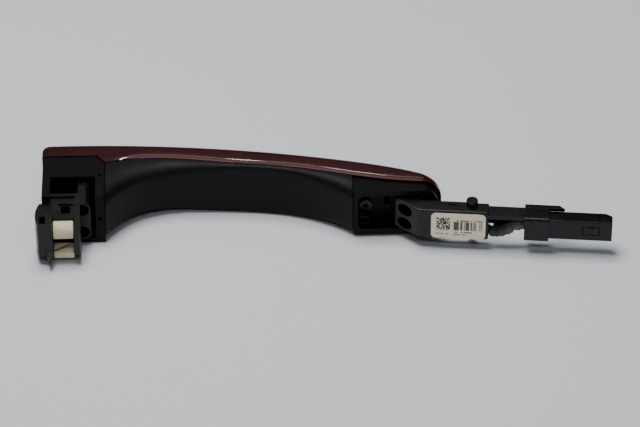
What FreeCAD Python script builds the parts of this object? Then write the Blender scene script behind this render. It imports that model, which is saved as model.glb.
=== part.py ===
import FreeCAD, Part

import math
import os

import Sketcher

Vector = FreeCAD.Vector

# An outside door handle for a left-hand door, as it comes off the car: a painted strap with a black
# inner shell, a pull leg at the rear, and a hinge arm at the front that ends in the sensor connector.
#
# Frame: millimetres. The origin is midway between the two pivot studs, on the axis the handle swings about.
# +X runs forward along the door, +Y points away from the door, +Z is up.

SIZES = {
    # Strap, measured along the door
    "rear_foot_length": 35.0,
    "grip_span": 136.0,
    "front_foot_length": 49.0,
    "strap_width": 33.0,
    "hinge_ahead": 16.0,  # nose of the strap to the pivot axis
    "hinge_depth": 7.0,  # pivot axis to the face of the door
    "nose_radius": 11.0,
    # Outer crown of the strap, above the face of the door
    "crown_rear": 50.8,
    "crown_shoulder": 49.8,
    "crown_middle": 44.4,
    "crown_arch_end": 31.0,
    "crown_before_nose": 18.8,
    "crown_nose": 12.5,
    "cover_edge_radius": 5.0,
    # Lower lip of the painted cover, above the face of the door
    "lip_rear": 36.6,
    "lip_arch_start": 29.9,
    "lip_rear_shoulder": 33.9,
    "lip_middle": 28.3,
    "lip_front_shoulder": 22.0,
    "lip_arch_end": 14.3,
    "lip_nose": 6.5,
    "notch_run": 4.5,  # length of the slant where the lip steps at the end of the rear foot
    # Finger arch
    "arch_rise": 24.8,
    "rear_shoulder_run": 20.0,
    "rear_shoulder_rise": 19.6,
    "front_shoulder_run": 28.5,
    "front_shoulder_rise": 17.5,
    "arch_edge_radius": 3.0,
    # Walls and gaps
    "cover_wall": 2.5,
    "liner_wall": 2.2,
    "carrier_wall": 2.4,
    "carrier_floor": 2.2,
    "seam_gap": 0.4,
    "seam_step": 0.6,  # how far the black shell stands in from the paint
    "front_foot_step": 2.2,
    "fit_gap": 0.3,
    "beam_overlap": 6.0,  # how far the beam's walls reach above the lip
    # Rear foot
    "rear_floor_height": 18.0,
    "room_start": 4.0,
    "ledge_start": 5.0,
    "ledge_end": 29.7,
    # Front foot
    "recess_depth": 9.0,
    "recess_corner": 4.0,
    # Pull leg
    "leg_base_start": 1.2,
    "leg_base_length": 25.8,
    "leg_side_room": 1.5,  # between the leg's base and the walls of the rear foot
    "leg_drop": 0.2,  # how far the fork reaches below its base
    "leg_reach": 20.0,
    "leg_slot_start": 6.6,
    "roller_length": 11.0,
    "roller_side_gap": 0.3,
    "left_cheek": 3.8,
    "right_cheek": 3.4,
    "window_start": 9.8,
    "window_inset": 1.8,
    "window_length": 7.4,
    "window_depth": 1.2,
    "bridge_thickness": 1.5,  # of the window's floor over the upper roller
    "bridge_reach": 12.5,
    "base_step": 7.6,  # height of the base's lower half above the face of the door
    "base_tall_part": 7.0,
    "fin_bulge": 3.0,
    # Rollers
    "upper_roller_radius": 5.0,
    "lower_roller_radius": 4.3,
    "upper_roller_reach": 14.6,
    "upper_roller_height": 4.0,
    "lower_roller_reach": 14.8,
    "lower_roller_drop": 9.8,
    "roller_pin_radius": 1.25,
    "running_gap": 0.08,
    "spring_wire": 1.1,
    # Hinge arm, measured along the arm
    "arm_angle": 6.5,
    "arm_back": 2.0,
    "arm_front": 7.0,
    "arm_side_room": 1.9,  # between the arm's root and the walls of the front recess
    "arm_end": 9.5,
    "arm_face_start": 29.0,
    "root_length": 15.4,
    "root_set_back": 20.0,
    "stud_radius": 3.2,
    "stud_shank_radius": 2.7,
    "stud_stand_out": 3.2,
    "stud_floor": 1.1,  # left between each stud and the channel for the lead
    "press_gap": 0.02,
    "lead_room": 0.6,
    "lead_drop": 6.3,  # taped lead's centre below the middle of the arm, where it leaves the arm
    "lead_aside": 6.3,  # lead's centre below the middle of the strap
    "lead_depth": 3.2,  # lead's centre in from the back of the arm
    "tongue_thickness": 2.5,
    "tongue_set_down": 1.8,  # top of the tongue below the top of the arm
    # Label
    "label_length": 29.9,
    "label_height": 16.8,
    "label_drop": 0.6,  # its middle below the middle of the arm
    "label_margin": 1.6,  # from its front edge to the end of the arm
    "label_thickness": 0.25,
    "label_corner": 2.6,
    # Connector, measured along the arm
    "holder_start": 29.0,
    "holder_length": 13.5,
    "holder_wall": 1.3,
    "clip_plate_length": 22.0,
    "clip_plate_thickness": 3.0,
    "connector_length": 46.0,
    "connector_depth": 9.2,
    "connector_height": 12.6,
    "connector_wall": 1.3,
    "socket_depth": 20.0,
    "connector_bevel": 3.8,
    "latch_length": 9.0,
    "latch_set_back": 7.0,  # from the free end of the housing
    "latch_width": 5.0,
    "latch_thickness": 1.0,
    "latch_gap": 0.35,
    "terminal_size": 0.64,
    "terminal_length": 26.0,
    # Lead
    "lead_diameter": 4.2,
    "tape_diameter": 5.6,
    # Request button and electronics
    "button_from_rear": 26.0,
    "button_length": 15.0,
    "button_width": 9.0,
    "button_stand_out": 0.7,
    "button_travel": 0.6,
    "button_flange": 1.4,
    "switch_height": 3.2,
    "board_length": 66.0,
    "board_thickness": 1.6,
    "board_from_rear": 9.0,
    "antenna_length": 60.0,
    "antenna_angle": 8.0,
    "ferrite_width": 7.0,
    "ferrite_thickness": 3.4,
    "bobbin_wall": 0.9,
    "winding_build": 0.9,
    # Fasteners
    "screw_radius": 1.7,
    "screw_head_radius": 3.4,
    "screw_head_height": 2.2,
    "screw_length": 9.0,
}


class Size:
    """A length with its value and the spreadsheet expression that it comes from."""

    def __init__(self, value, text):
        self.value = float(value)
        self.text = text

    def __add__(self, other):
        return Size(self.value + number(other), f"({self.text} + {words(other)})")

    def __radd__(self, other):
        return Size(number(other) + self.value, f"({words(other)} + {self.text})")

    def __sub__(self, other):
        return Size(self.value - number(other), f"({self.text} - {words(other)})")

    def __rsub__(self, other):
        return Size(number(other) - self.value, f"({words(other)} - {self.text})")

    def __mul__(self, other):
        return Size(self.value * number(other), f"({self.text} * {words(other)})")

    def __rmul__(self, other):
        return self * other

    def __truediv__(self, other):
        return Size(self.value / number(other), f"({self.text} / {words(other)})")

    def __neg__(self):
        return Size(-self.value, f"(0 - {self.text})")


def number(length):
    """The plain number of a size or of a number."""
    return length.value if isinstance(length, Size) else float(length)


def words(length):
    """The spreadsheet expression of a size or of a number."""
    return length.text if isinstance(length, Size) else repr(float(length))


class Sheet:
    """The driving dimensions, kept in the document's spreadsheet, one alias each."""

    def __init__(self, doc):
        self.object = doc.addObject("Spreadsheet::Sheet", "Sizes")
        for row, (alias, value) in enumerate(SIZES.items(), 1):
            self.object.set(f"A{row}", alias)
            self.object.set(f"B{row}", str(value))
            self.object.setAlias(f"B{row}", alias)
        doc.recompute()

    def __getattr__(self, alias):
        return Size(getattr(self.object, alias), f"Sizes.{alias}")


doc = FreeCAD.newDocument("door_handle")
s = Sheet(doc)

# Stations along the strap
NOSE = -s.hinge_ahead
ARCH_END = NOSE - s.front_foot_length
ARCH_START = ARCH_END - s.grip_span
REAR = ARCH_START - s.rear_foot_length
MIDDLE = (ARCH_START + ARCH_END) / 2
DOOR = s.hinge_depth
HALF_WIDTH = s.strap_width / 2
ROOM_HALF = HALF_WIDTH - s.seam_step - s.carrier_wall  # inside the rear foot
LEG_TOP = ROOM_HALF - s.leg_side_room
LEG_BOTTOM = LEG_TOP + s.leg_drop
RECESS_HALF = HALF_WIDTH - s.cover_wall - s.seam_gap - s.carrier_wall  # inside the front foot
ARM_HALF = RECESS_HALF - s.arm_side_room
LEAD_CHANNEL = s.lead_diameter + 2 * s.lead_room
STUD_SEAT = ARM_HALF - LEAD_CHANNEL / 2 - s.stud_floor  # how deep each stud sits in the arm
CHANNEL_HALF = HALF_WIDTH - s.seam_step - s.liner_wall - s.seam_gap - s.carrier_wall  # inside the beam

NODES = []


# Drawing


def bind(thing, name, length):
    """Ties a property to the spreadsheet, or sets it if the length is a plain number."""
    if isinstance(length, Size):
        thing.setExpression(name, length.text)
    else:
        setattr(thing, name, length)


def rectangle(a_low, a_high, b_low, b_high):
    """A rectangle whose four sides are tied to the sheet."""

    def draw(sketch):
        low = Vector(number(a_low), number(b_low), 0)
        high = Vector(number(a_high), number(b_high), 0)
        corners = [low, Vector(high.x, low.y, 0), high, Vector(low.x, high.y, 0)]
        sides = [
            sketch.addGeometry(Part.LineSegment(corners[i], corners[(i + 1) % 4]))
            for i in range(4)
        ]
        for i in range(4):
            sketch.addConstraint(Sketcher.Constraint("Coincident", sides[i], 2, sides[(i + 1) % 4], 1))
            direction = "Horizontal" if i % 2 == 0 else "Vertical"
            sketch.addConstraint(Sketcher.Constraint(direction, sides[i]))
        for kind, side, point, length in (
            ("DistanceX", sides[0], 1, a_low),
            ("DistanceY", sides[0], 1, b_low),
            ("DistanceX", sides[2], 1, a_high),
            ("DistanceY", sides[2], 1, b_high),
        ):
            fix(sketch, Sketcher.Constraint(kind, side, point, number(length)), length)

    return draw


def circle(a, b, radius):
    """A circle whose centre and radius are tied to the sheet."""

    def draw(sketch):
        middle = Vector(number(a), number(b), 0)
        ring = sketch.addGeometry(Part.Circle(middle, Vector(0, 0, 1), number(radius)))
        fix(sketch, Sketcher.Constraint("DistanceX", ring, 3, number(a)), a)
        fix(sketch, Sketcher.Constraint("DistanceY", ring, 3, number(b)), b)
        fix(sketch, Sketcher.Constraint("Radius", ring, number(radius)), radius)

    return draw


def fix(sketch, constraint, length):
    """Adds a dimension to a sketch and ties it to the sheet."""
    index = sketch.addConstraint(constraint)
    if isinstance(length, Size):
        name = f"size{index}"
        sketch.renameConstraint(index, name)
        sketch.setExpression(f"Constraints.{name}", length.text)


def outline(*edges):
    """A closed outline of ready edges."""

    def draw(sketch):
        for edge in edges:
            sketch.addGeometry(edge)

    return draw


def point(a, b):
    return Vector(number(a), number(b), 0)


def polygon(*corners):
    """The straight edges of a closed polygon."""
    return [Part.LineSegment(corners[i], corners[(i + 1) % len(corners)]) for i in range(len(corners))]


def rounded(corners, radii):
    """A closed polygon with its corners rounded, as lines and arcs."""
    edges = []
    ends = []
    count = len(corners)
    for i, corner in enumerate(corners):
        before = (corners[i - 1] - corner).normalize()
        after = (corners[(i + 1) % count] - corner).normalize()
        half = before.getAngle(after) / 2
        if radii[i] <= 0:
            ends.append((corner, corner))
            continue
        run = radii[i] / math.tan(half)
        first = corner + before * run
        last = corner + after * run
        middle = (before + after).normalize()
        centre = corner + middle * (radii[i] / math.sin(half))
        edges.append(Part.Arc(first, centre - middle * radii[i], last))
        ends.append((first, last))
    for i in range(count):
        start = ends[i][1]
        finish = ends[(i + 1) % count][0]
        if (finish - start).Length > 1e-6:
            edges.append(Part.LineSegment(start, finish))
    return edges


def spline(points, tangents=None):
    """A smooth curve through the points, with end tangents where they matter."""
    curve = Part.BSplineCurve()
    if tangents:
        curve.interpolate(Points=points, InitialTangent=tangents[0], FinalTangent=tangents[1])
    else:
        curve.interpolate(points)
    return curve


def height_on(curve, x):
    """The height of a curve at a station, for a curve that runs steadily along X."""
    low, high = curve.FirstParameter, curve.LastParameter
    rising = curve.value(high).x > curve.value(low).x
    for _ in range(60):
        half = (low + high) / 2
        if (curve.value(half).x < x) == rising:
            low = half
        else:
            high = half
    return curve.value((low + high) / 2).y


def shifted(curve, distance, count=13):
    """A curve that runs alongside another at a distance, to the left of its direction."""
    points = []
    for i in range(count):
        at = curve.FirstParameter + (curve.LastParameter - curve.FirstParameter) * i / (count - 1)
        along = curve.tangent(at)[0]
        points.append(curve.value(at) + Vector(-along.y, along.x, 0) * distance)
    return spline(points)


def new_body(label):
    body = doc.addObject("PartDesign::Body", label)
    body.Label = label
    return body


PLANES = {"Z": ("XY_Plane", 1), "Y": ("XZ_Plane", -1), "X": ("YZ_Plane", 1)}


def new_sketch(body, axis, station, drawings):
    """A sketch across an axis at a station. It reads X and Y, X and Z, or Y and Z."""
    role, sense = PLANES[axis]
    sketch = body.newObject("Sketcher::SketchObject", f"{body.Name}_sketch")
    plane = [item for item in body.Origin.OriginFeatures if item.Role == role][0]
    sketch.AttachmentSupport = [(plane, "")]
    sketch.MapMode = "FlatFace"
    sketch.AttachmentOffset = FreeCAD.Placement(Vector(0, 0, sense * number(station)), FreeCAD.Rotation())
    if isinstance(station, Size):
        sketch.setExpression("AttachmentOffset.Base.z", (station * sense).text)
    for draw in drawings:
        draw(sketch)
    return sketch


def check(feature):
    doc.recompute()
    if set(feature.State) & {"Invalid", "Error"} or not feature.Shape.isValid():
        raise RuntimeError(f"{feature.Name} could not be built")
    return feature


def add(body, axis, low, high, *drawings):
    """Adds material between two stations of an axis."""
    start = high if axis == "Y" else low
    pad = body.newObject("PartDesign::Pad", f"{body.Name}_pad")
    pad.Profile = new_sketch(body, axis, start, drawings)
    bind(pad, "Length", high - low)
    return check(pad)


def cut(body, axis, low, high, *drawings):
    """Takes material away between two stations of an axis, and makes sure that it did."""
    before = body.Shape.Volume
    start = low if axis == "Y" else high
    pocket = body.newObject("PartDesign::Pocket", f"{body.Name}_pocket")
    pocket.Profile = new_sketch(body, axis, start, drawings)
    bind(pocket, "Length", high - low)
    check(pocket)
    if body.Shape.Volume > before - 1e-3:
        raise RuntimeError(f"{pocket.Name} cut nothing")
    return pocket


def dress(body, kind, length, chosen):
    """Rounds or bevels the edges of a body that a test picks."""
    edges = body.Tip.Shape.Edges
    names = [f"Edge{i}" for i, edge in enumerate(edges, 1) if chosen(edge)]
    if not names:
        raise RuntimeError(f"{body.Label} has no such edge")
    feature = body.newObject(f"PartDesign::{kind}", f"{body.Name}_{kind.lower()}")
    feature.Base = (body.Tip if body.Tip != feature else feature.BaseFeature, names)
    bind(feature, "Radius" if kind == "Fillet" else "Size", length)
    return check(feature)


def along(edge, axis):
    """Whether an edge is a straight one along an axis."""
    box = edge.BoundBox
    spans = {"X": box.XLength, "Y": box.YLength, "Z": box.ZLength}
    length = spans.pop(axis)
    return length > 1e-3 and max(spans.values()) < 1e-3


def keep(label, thing):
    """Names an object as a finished sub-part."""
    thing.Label = label
    NODES.append(thing)
    return thing


def place(thing, x, y, z, rotation=None):
    """Puts a primitive at a point that is tied to the sheet."""
    at = Vector(number(x), number(y), number(z))
    thing.Placement = FreeCAD.Placement(at, rotation or FreeCAD.Rotation())
    for name, length in (("x", x), ("y", y), ("z", z)):
        if isinstance(length, Size):
            thing.setExpression(f"Placement.Base.{name}", length.text)
    return thing


TURN = {
    "X": FreeCAD.Rotation(Vector(0, 1, 0), 90),
    "Y": FreeCAD.Rotation(Vector(1, 0, 0), -90),
    "Z": FreeCAD.Rotation(),
}


def cylinder(name, axis, x, y, z, radius, length):
    """A cylinder from a point, along an axis."""
    rod = doc.addObject("Part::Cylinder", name)
    bind(rod, "Radius", radius)
    bind(rod, "Height", length)
    return place(rod, x, y, z, TURN[axis])


def block(name, x, y, z, length, width, height):
    """A box from its lowest corner."""
    box = doc.addObject("Part::Box", name)
    bind(box, "Length", length)
    bind(box, "Width", width)
    bind(box, "Height", height)
    return place(box, x, y, z)


def less(name, base, tool):
    result = doc.addObject("Part::Cut", name)
    result.Base = base
    result.Tool = tool
    return check(result)


def joined(name, *things):
    result = doc.addObject("Part::MultiFuse", name)
    result.Shapes = list(things)
    return check(result)


def together(name, *things):
    """Separate solids in one sub-part."""
    result = doc.addObject("Part::Compound", name)
    result.Links = list(things)
    return check(result)


# Lines that several pieces share


def crown_line():
    """Outer line of the strap, from the rear to the nose."""
    return spline(
        [
            point(REAR, DOOR + s.crown_rear),
            point(ARCH_START + 15, DOOR + s.crown_shoulder),
            point(MIDDLE, DOOR + s.crown_middle),
            point(ARCH_END, DOOR + s.crown_arch_end),
            point(NOSE - 12, DOOR + s.crown_before_nose),
            point(NOSE, DOOR + s.crown_nose),
        ]
    )


def lip_line(rise=0.0):
    """Lower lip of the painted cover, from the nose back to the start of the arch."""
    return spline(
        [
            point(NOSE, DOOR + s.lip_nose + rise),
            point(ARCH_END, DOOR + s.lip_arch_end + rise),
            point(ARCH_END - s.front_shoulder_run, DOOR + s.lip_front_shoulder + rise),
            point(MIDDLE, DOOR + s.lip_middle + rise),
            point(ARCH_START + s.rear_shoulder_run, DOOR + s.lip_rear_shoulder + rise),
            point(ARCH_START, DOOR + s.lip_arch_start + rise),
        ]
    )


def arch_line():
    """Inner face of the grip, from the rear foot to the front foot."""
    return spline(
        [
            point(ARCH_START, DOOR),
            point(ARCH_START + s.rear_shoulder_run, DOOR + s.rear_shoulder_rise),
            point(MIDDLE - 6, DOOR + s.arch_rise),
            point(ARCH_END - s.front_shoulder_run, DOOR + s.front_shoulder_rise),
            point(ARCH_END, DOOR),
        ],
        (Vector(1, 1.5, 0), Vector(1, -0.85, 0)),
    )


CROWN = crown_line()
LIP = lip_line()
ARCH = arch_line()
FAR = 200.0  # well past any face, for cuts that go right through


def trimmed(curve, x_low, x_high):
    """The part of a curve between two stations, and its two end points."""
    count = 15
    points = [
        Vector(x, height_on(curve, x), 0)
        for x in (number(x_low) + (number(x_high) - number(x_low)) * i / (count - 1) for i in range(count))
    ]
    return spline(points), points[0], points[-1]


def nose_waste(inset, front):
    """Everything outside the strap's rounded front, as seen from outside the car."""
    half = number(HALF_WIDTH - inset)
    radius = number(s.nose_radius - inset)
    tip = number(front)
    back = tip - radius
    far = tip + FAR
    turn = radius * math.sqrt(0.5)
    return outline(
        Part.LineSegment(Vector(back, half, 0), Vector(back, FAR, 0)),
        Part.LineSegment(Vector(back, FAR, 0), Vector(far, FAR, 0)),
        Part.LineSegment(Vector(far, FAR, 0), Vector(far, -FAR, 0)),
        Part.LineSegment(Vector(far, -FAR, 0), Vector(back, -FAR, 0)),
        Part.LineSegment(Vector(back, -FAR, 0), Vector(back, -half, 0)),
        Part.Arc(
            Vector(back, -half, 0),
            Vector(back + turn, -half + radius - turn, 0),
            Vector(tip, -half + radius, 0),
        ),
        Part.LineSegment(Vector(tip, -half + radius, 0), Vector(tip, half - radius, 0)),
        Part.Arc(
            Vector(tip, half - radius, 0),
            Vector(back + turn, half - radius + turn, 0),
            Vector(back, half, 0),
        ),
    )


# Strap


def painted_cover():
    """The painted outer shell, open towards the door, with the hole for the request button."""
    body = new_body("painted_cover")
    notch = point(ARCH_START - s.notch_run, DOOR + s.lip_rear)
    rear_lip = point(REAR, DOOR + s.lip_rear)
    lip_end = LIP.value(LIP.LastParameter)
    nose_top = CROWN.value(CROWN.LastParameter)
    nose_lip = LIP.value(LIP.FirstParameter)
    rear_top = CROWN.value(CROWN.FirstParameter)
    add(
        body,
        "Z",
        -HALF_WIDTH,
        HALF_WIDTH,
        outline(
            CROWN,
            Part.LineSegment(nose_top, nose_lip),
            LIP,
            Part.LineSegment(lip_end, notch),
            Part.LineSegment(notch, rear_lip),
            Part.LineSegment(rear_lip, rear_top),
        ),
    )
    cut(body, "Y", -FAR, FAR, nose_waste(0, NOSE))
    middle = number(MIDDLE)
    dress(
        body,
        "Fillet",
        s.cover_edge_radius,
        lambda edge: edge.CenterOfMass.y
        > height_on(CROWN, min(edge.CenterOfMass.x, number(NOSE) - 0.01)) - 4.5
        and (edge.BoundBox.XLength > 3 or edge.CenterOfMass.x > middle),
    )
    wall = s.cover_wall
    inner_crown, rear_inner, nose_inner = trimmed(shifted(CROWN, -number(wall)), REAR + wall, NOSE - wall)
    under = number(DOOR) - 1
    cut(
        body,
        "Z",
        -(HALF_WIDTH - wall),
        HALF_WIDTH - wall,
        outline(
            inner_crown,
            Part.LineSegment(nose_inner, Vector(nose_inner.x, under, 0)),
            Part.LineSegment(Vector(nose_inner.x, under, 0), Vector(rear_inner.x, under, 0)),
            Part.LineSegment(Vector(rear_inner.x, under, 0), rear_inner),
        ),
    )
    # Boss for the screw that comes up through the front foot
    roof = height_on(inner_crown, number(COVER_SCREW_X)) - number(DOOR) + 0.4
    boss_low = DOOR + s.recess_depth + s.carrier_floor + s.fit_gap
    add(
        body,
        "Y",
        boss_low,
        Size(number(DOOR) + roof, f"({DOOR.text} + {roof})"),
        circle(COVER_SCREW_X, 0.0, s.screw_head_radius),
    )
    cut(
        body,
        "Y",
        boss_low - 1,
        boss_low + s.screw_length,
        circle(COVER_SCREW_X, 0.0, s.screw_radius + s.press_gap),
    )
    button_x = REAR + s.button_from_rear
    gap = s.fit_gap
    cut(
        body,
        "Y",
        DOOR + s.lip_rear,
        DOOR + s.crown_rear + 5,
        outline(*button_outline(button_x, s.button_length + 2 * gap, s.button_width + 2 * gap)),
    )
    return keep("painted_cover", body)


def button_outline(x, length, width):
    """A slot with round ends, seen from outside the car."""
    half = number(length - width) / 2
    radius = number(width) / 2
    centre = number(x)
    return [
        Part.LineSegment(Vector(centre - half, -radius, 0), Vector(centre + half, -radius, 0)),
        Part.Arc(
            Vector(centre + half, -radius, 0),
            Vector(centre + half + radius, 0, 0),
            Vector(centre + half, radius, 0),
        ),
        Part.LineSegment(Vector(centre + half, radius, 0), Vector(centre - half, radius, 0)),
        Part.Arc(
            Vector(centre - half, radius, 0),
            Vector(centre - half - radius, 0, 0),
            Vector(centre - half, -radius, 0),
        ),
    ]


def grip_liner():
    """The black trough behind the fingers, between the two feet."""
    body = new_body("grip_liner")
    lip, front, rear = trimmed(lip_line(-number(s.seam_gap)), ARCH_END, ARCH_START)
    half = HALF_WIDTH - s.seam_step
    arch_front = point(ARCH_END, DOOR)
    arch_rear = point(ARCH_START, DOOR)
    add(
        body,
        "Z",
        -half,
        half,
        outline(
            ARCH,
            Part.LineSegment(arch_front, front),
            lip,
            Part.LineSegment(rear, arch_rear),
        ),
    )
    dress(
        body,
        "Fillet",
        s.arch_edge_radius,
        lambda edge: edge.BoundBox.XLength > 50
        and abs(edge.CenterOfMass.z) > 1
        and edge.CenterOfMass.y < height_on(LIP, edge.CenterOfMass.x) - 6,
    )
    inner = shifted(ARCH, number(s.liner_wall))
    start = inner.value(inner.FirstParameter)
    finish = inner.value(inner.LastParameter)
    top = number(DOOR + s.crown_rear)
    before = Vector(start.x - 10, start.y, 0)
    after = Vector(finish.x + 10, finish.y, 0)
    cut(
        body,
        "Z",
        -(half - s.liner_wall),
        half - s.liner_wall,
        outline(
            inner,
            Part.LineSegment(finish, after),
            Part.LineSegment(after, Vector(after.x, top, 0)),
            Part.LineSegment(Vector(after.x, top, 0), Vector(before.x, top, 0)),
            Part.LineSegment(Vector(before.x, top, 0), before),
            Part.LineSegment(before, start),
        ),
    )
    return keep("grip_liner", body)


def carrier():
    """The stiff frame: rear foot, channel beam through the strap, and front foot."""
    body = new_body("carrier")
    step = s.seam_step
    gap = s.seam_gap
    # Rear foot, with the slant that meets the notch in the cover
    rear = REAR + s.seam_step
    front = ARCH_START - gap
    top = DOOR + s.lip_rear - gap
    add(
        body,
        "Z",
        -(HALF_WIDTH - step),
        HALF_WIDTH - step,
        outline(
            *polygon(
                point(rear, DOOR),
                point(front, DOOR),
                point(front, DOOR + s.lip_arch_start - gap),
                point(ARCH_START - s.notch_run - gap, top),
                point(rear, top),
            )
        ),
    )
    # Beam
    beam_half = HALF_WIDTH - step - s.liner_wall - gap
    lower = shifted(ARCH, number(s.liner_wall + s.fit_gap))
    bottom_left = lower.value(lower.FirstParameter)
    bottom_right = lower.value(lower.LastParameter)
    upper, upper_front, upper_rear = trimmed(lip_line(number(s.beam_overlap)), ARCH_END + 2, ARCH_START - 2)
    add(
        body,
        "Z",
        -beam_half,
        beam_half,
        outline(
            lower,
            Part.LineSegment(bottom_right, upper_front),
            upper,
            Part.LineSegment(upper_rear, bottom_left),
        ),
    )
    # Front foot, flush part and the plug that locates the cover
    foot_rear = ARCH_END + gap
    foot_front = NOSE - s.front_foot_step
    lip, lip_front, lip_rear = trimmed(lip_line(-number(gap)), foot_front, foot_rear)
    add(
        body,
        "Z",
        -(HALF_WIDTH - s.front_foot_step),
        HALF_WIDTH - s.front_foot_step,
        outline(
            Part.LineSegment(point(foot_rear, DOOR), point(foot_front, DOOR)),
            Part.LineSegment(point(foot_front, DOOR), lip_front),
            lip,
            Part.LineSegment(lip_rear, point(foot_rear, DOOR)),
        ),
    )
    cut(body, "Y", -FAR, FAR, nose_waste(s.front_foot_step, foot_front))
    plug_half = HALF_WIDTH - s.cover_wall - gap
    plug_front = foot_front - s.nose_radius / 2
    floor_top = DOOR + s.recess_depth + s.carrier_floor
    add(body, "Y", DOOR + 3, floor_top, rectangle(foot_rear, plug_front, -plug_half, plug_half))
    dress(
        body,
        "Fillet",
        s.nose_radius / 2,
        lambda edge: along(edge, "Y")
        and abs(edge.CenterOfMass.x - number(plug_front)) < 0.01
        and edge.CenterOfMass.y > number(DOOR) + 6,
    )
    # Recess of the front foot, open to the door
    wall = s.carrier_wall
    corners = [
        point(foot_rear + wall, -(plug_half - wall)),
        point(plug_front - wall, -(plug_half - wall)),
        point(plug_front - wall, plug_half - wall),
        point(foot_rear + wall, plug_half - wall),
    ]
    recess = rounded(corners, [number(s.recess_corner)] * 4)
    cut(body, "Y", DOOR - 1, DOOR + s.recess_depth, outline(*recess))
    # Recess of the rear foot, and the room above its floor
    room = ROOM_HALF
    room_start = REAR + s.room_start
    room_end = REAR + s.ledge_end
    cut(body, "Y", DOOR - 1, DOOR + s.rear_floor_height, rectangle(room_start, room_end, -room, room))
    cut(
        body,
        "Y",
        DOOR + s.rear_floor_height + s.carrier_floor,
        DOOR + s.lip_rear + 20,
        rectangle(REAR + s.cover_wall + gap, room_end, -beam_half, beam_half),
    )
    # The upper wall of the rear foot stops at a ledge, where the pull leg's base shows
    cut(
        body,
        "Z",
        room - 0.1,
        HALF_WIDTH + 1,
        rectangle(REAR + s.ledge_start, room_end, DOOR - 1, DOOR + s.rear_floor_height - 0.2),
    )
    # Two small tooling holes at the front of the rear foot
    hole_x = (room_end + front) / 2
    hole_y = DOOR + s.rear_floor_height + 1.2
    cut(body, "Z", HALF_WIDTH - step - 1.5, HALF_WIDTH, circle(hole_x, hole_y, 1.1))
    cut(body, "Y", DOOR - 1, DOOR + 4, circle(hole_x, 0.0, 1.2))
    # Slot beside the arm's root, and ribs in the corner of the front recess
    slot_high = ROOT_REAR - 2.0
    slot_low = slot_high - 3.4
    cut(body, "Y", DOOR + s.recess_depth - 1, floor_top + 1, rectangle(slot_low, slot_high, -1.0, 9.0))
    for z in (-9.6, -5.6):
        add(
            body,
            "Y",
            DOOR + 2.5,
            DOOR + s.recess_depth + 0.1,
            rectangle(foot_rear + wall - 0.1, foot_rear + wall + 6.5, z, z + 1.2),
        )
    # Channel along the beam
    channel_half = CHANNEL_HALF
    channel = shifted(ARCH, number(s.liner_wall + s.fit_gap + s.carrier_floor))
    channel_bottom, channel_rear, channel_front = trimmed(channel, ARCH_START + 6, ARCH_END - 4)
    sky = number(DOOR + s.crown_rear)
    cut(
        body,
        "Z",
        -channel_half,
        channel_half,
        outline(
            channel_bottom,
            Part.LineSegment(channel_front, Vector(channel_front.x, sky, 0)),
            Part.LineSegment(Vector(channel_front.x, sky, 0), Vector(channel_rear.x, sky, 0)),
            Part.LineSegment(Vector(channel_rear.x, sky, 0), channel_rear),
        ),
    )
    # Way for the lead, from the channel into the front foot and down through its floor
    cut(
        body,
        "Y",
        floor_top,
        DOOR + s.crown_rear,
        rectangle(ARCH_END - 8, ARCH_END + 10, -channel_half, channel_half),
    )
    cut(
        body,
        "Y",
        DOOR + s.recess_depth - 1,
        floor_top + 1,
        circle(LEAD_HOLE_X, 0.0, s.lead_diameter / 2 + 0.9),
        circle(COVER_SCREW_X, 0.0, s.screw_radius + 0.1),
    )
    # Holes for the two screws of the hinge arm and the two of the pull leg
    for z in (ARM_SCREW_Z, -ARM_SCREW_Z):
        cut(
            body,
            "Y",
            DOOR + s.recess_depth - 1,
            floor_top + 1,
            circle(ARM_SCREW_X, z, s.screw_radius + 0.05),
        )
    for z in (LEG_SCREW_Z, -LEG_SCREW_Z):
        cut(
            body,
            "Y",
            DOOR + s.rear_floor_height - 1,
            DOOR + s.rear_floor_height + s.carrier_floor + 1,
            circle(LEG_SCREW_X, z, s.screw_radius + 0.05),
        )
    return keep("carrier", body)


# Places that pieces share

ROOT_REAR = ARCH_END + s.seam_gap + s.carrier_wall + s.root_set_back
ROOT_FRONT = ROOT_REAR + s.root_length
ARM_SCREW_X = ROOT_REAR + 5.5
ARM_SCREW_Z = s.screw_head_radius + 1.1
COVER_SCREW_X = ARCH_END + s.seam_gap + s.carrier_wall + 4.6
LEAD_HOLE_X = ROOT_REAR + 9.5
LEG_SCREW_X = REAR + s.leg_base_start + s.leg_base_length - 4.4
LEG_SCREW_Z = LEG_TOP - 4.6

# Pull leg


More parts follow.
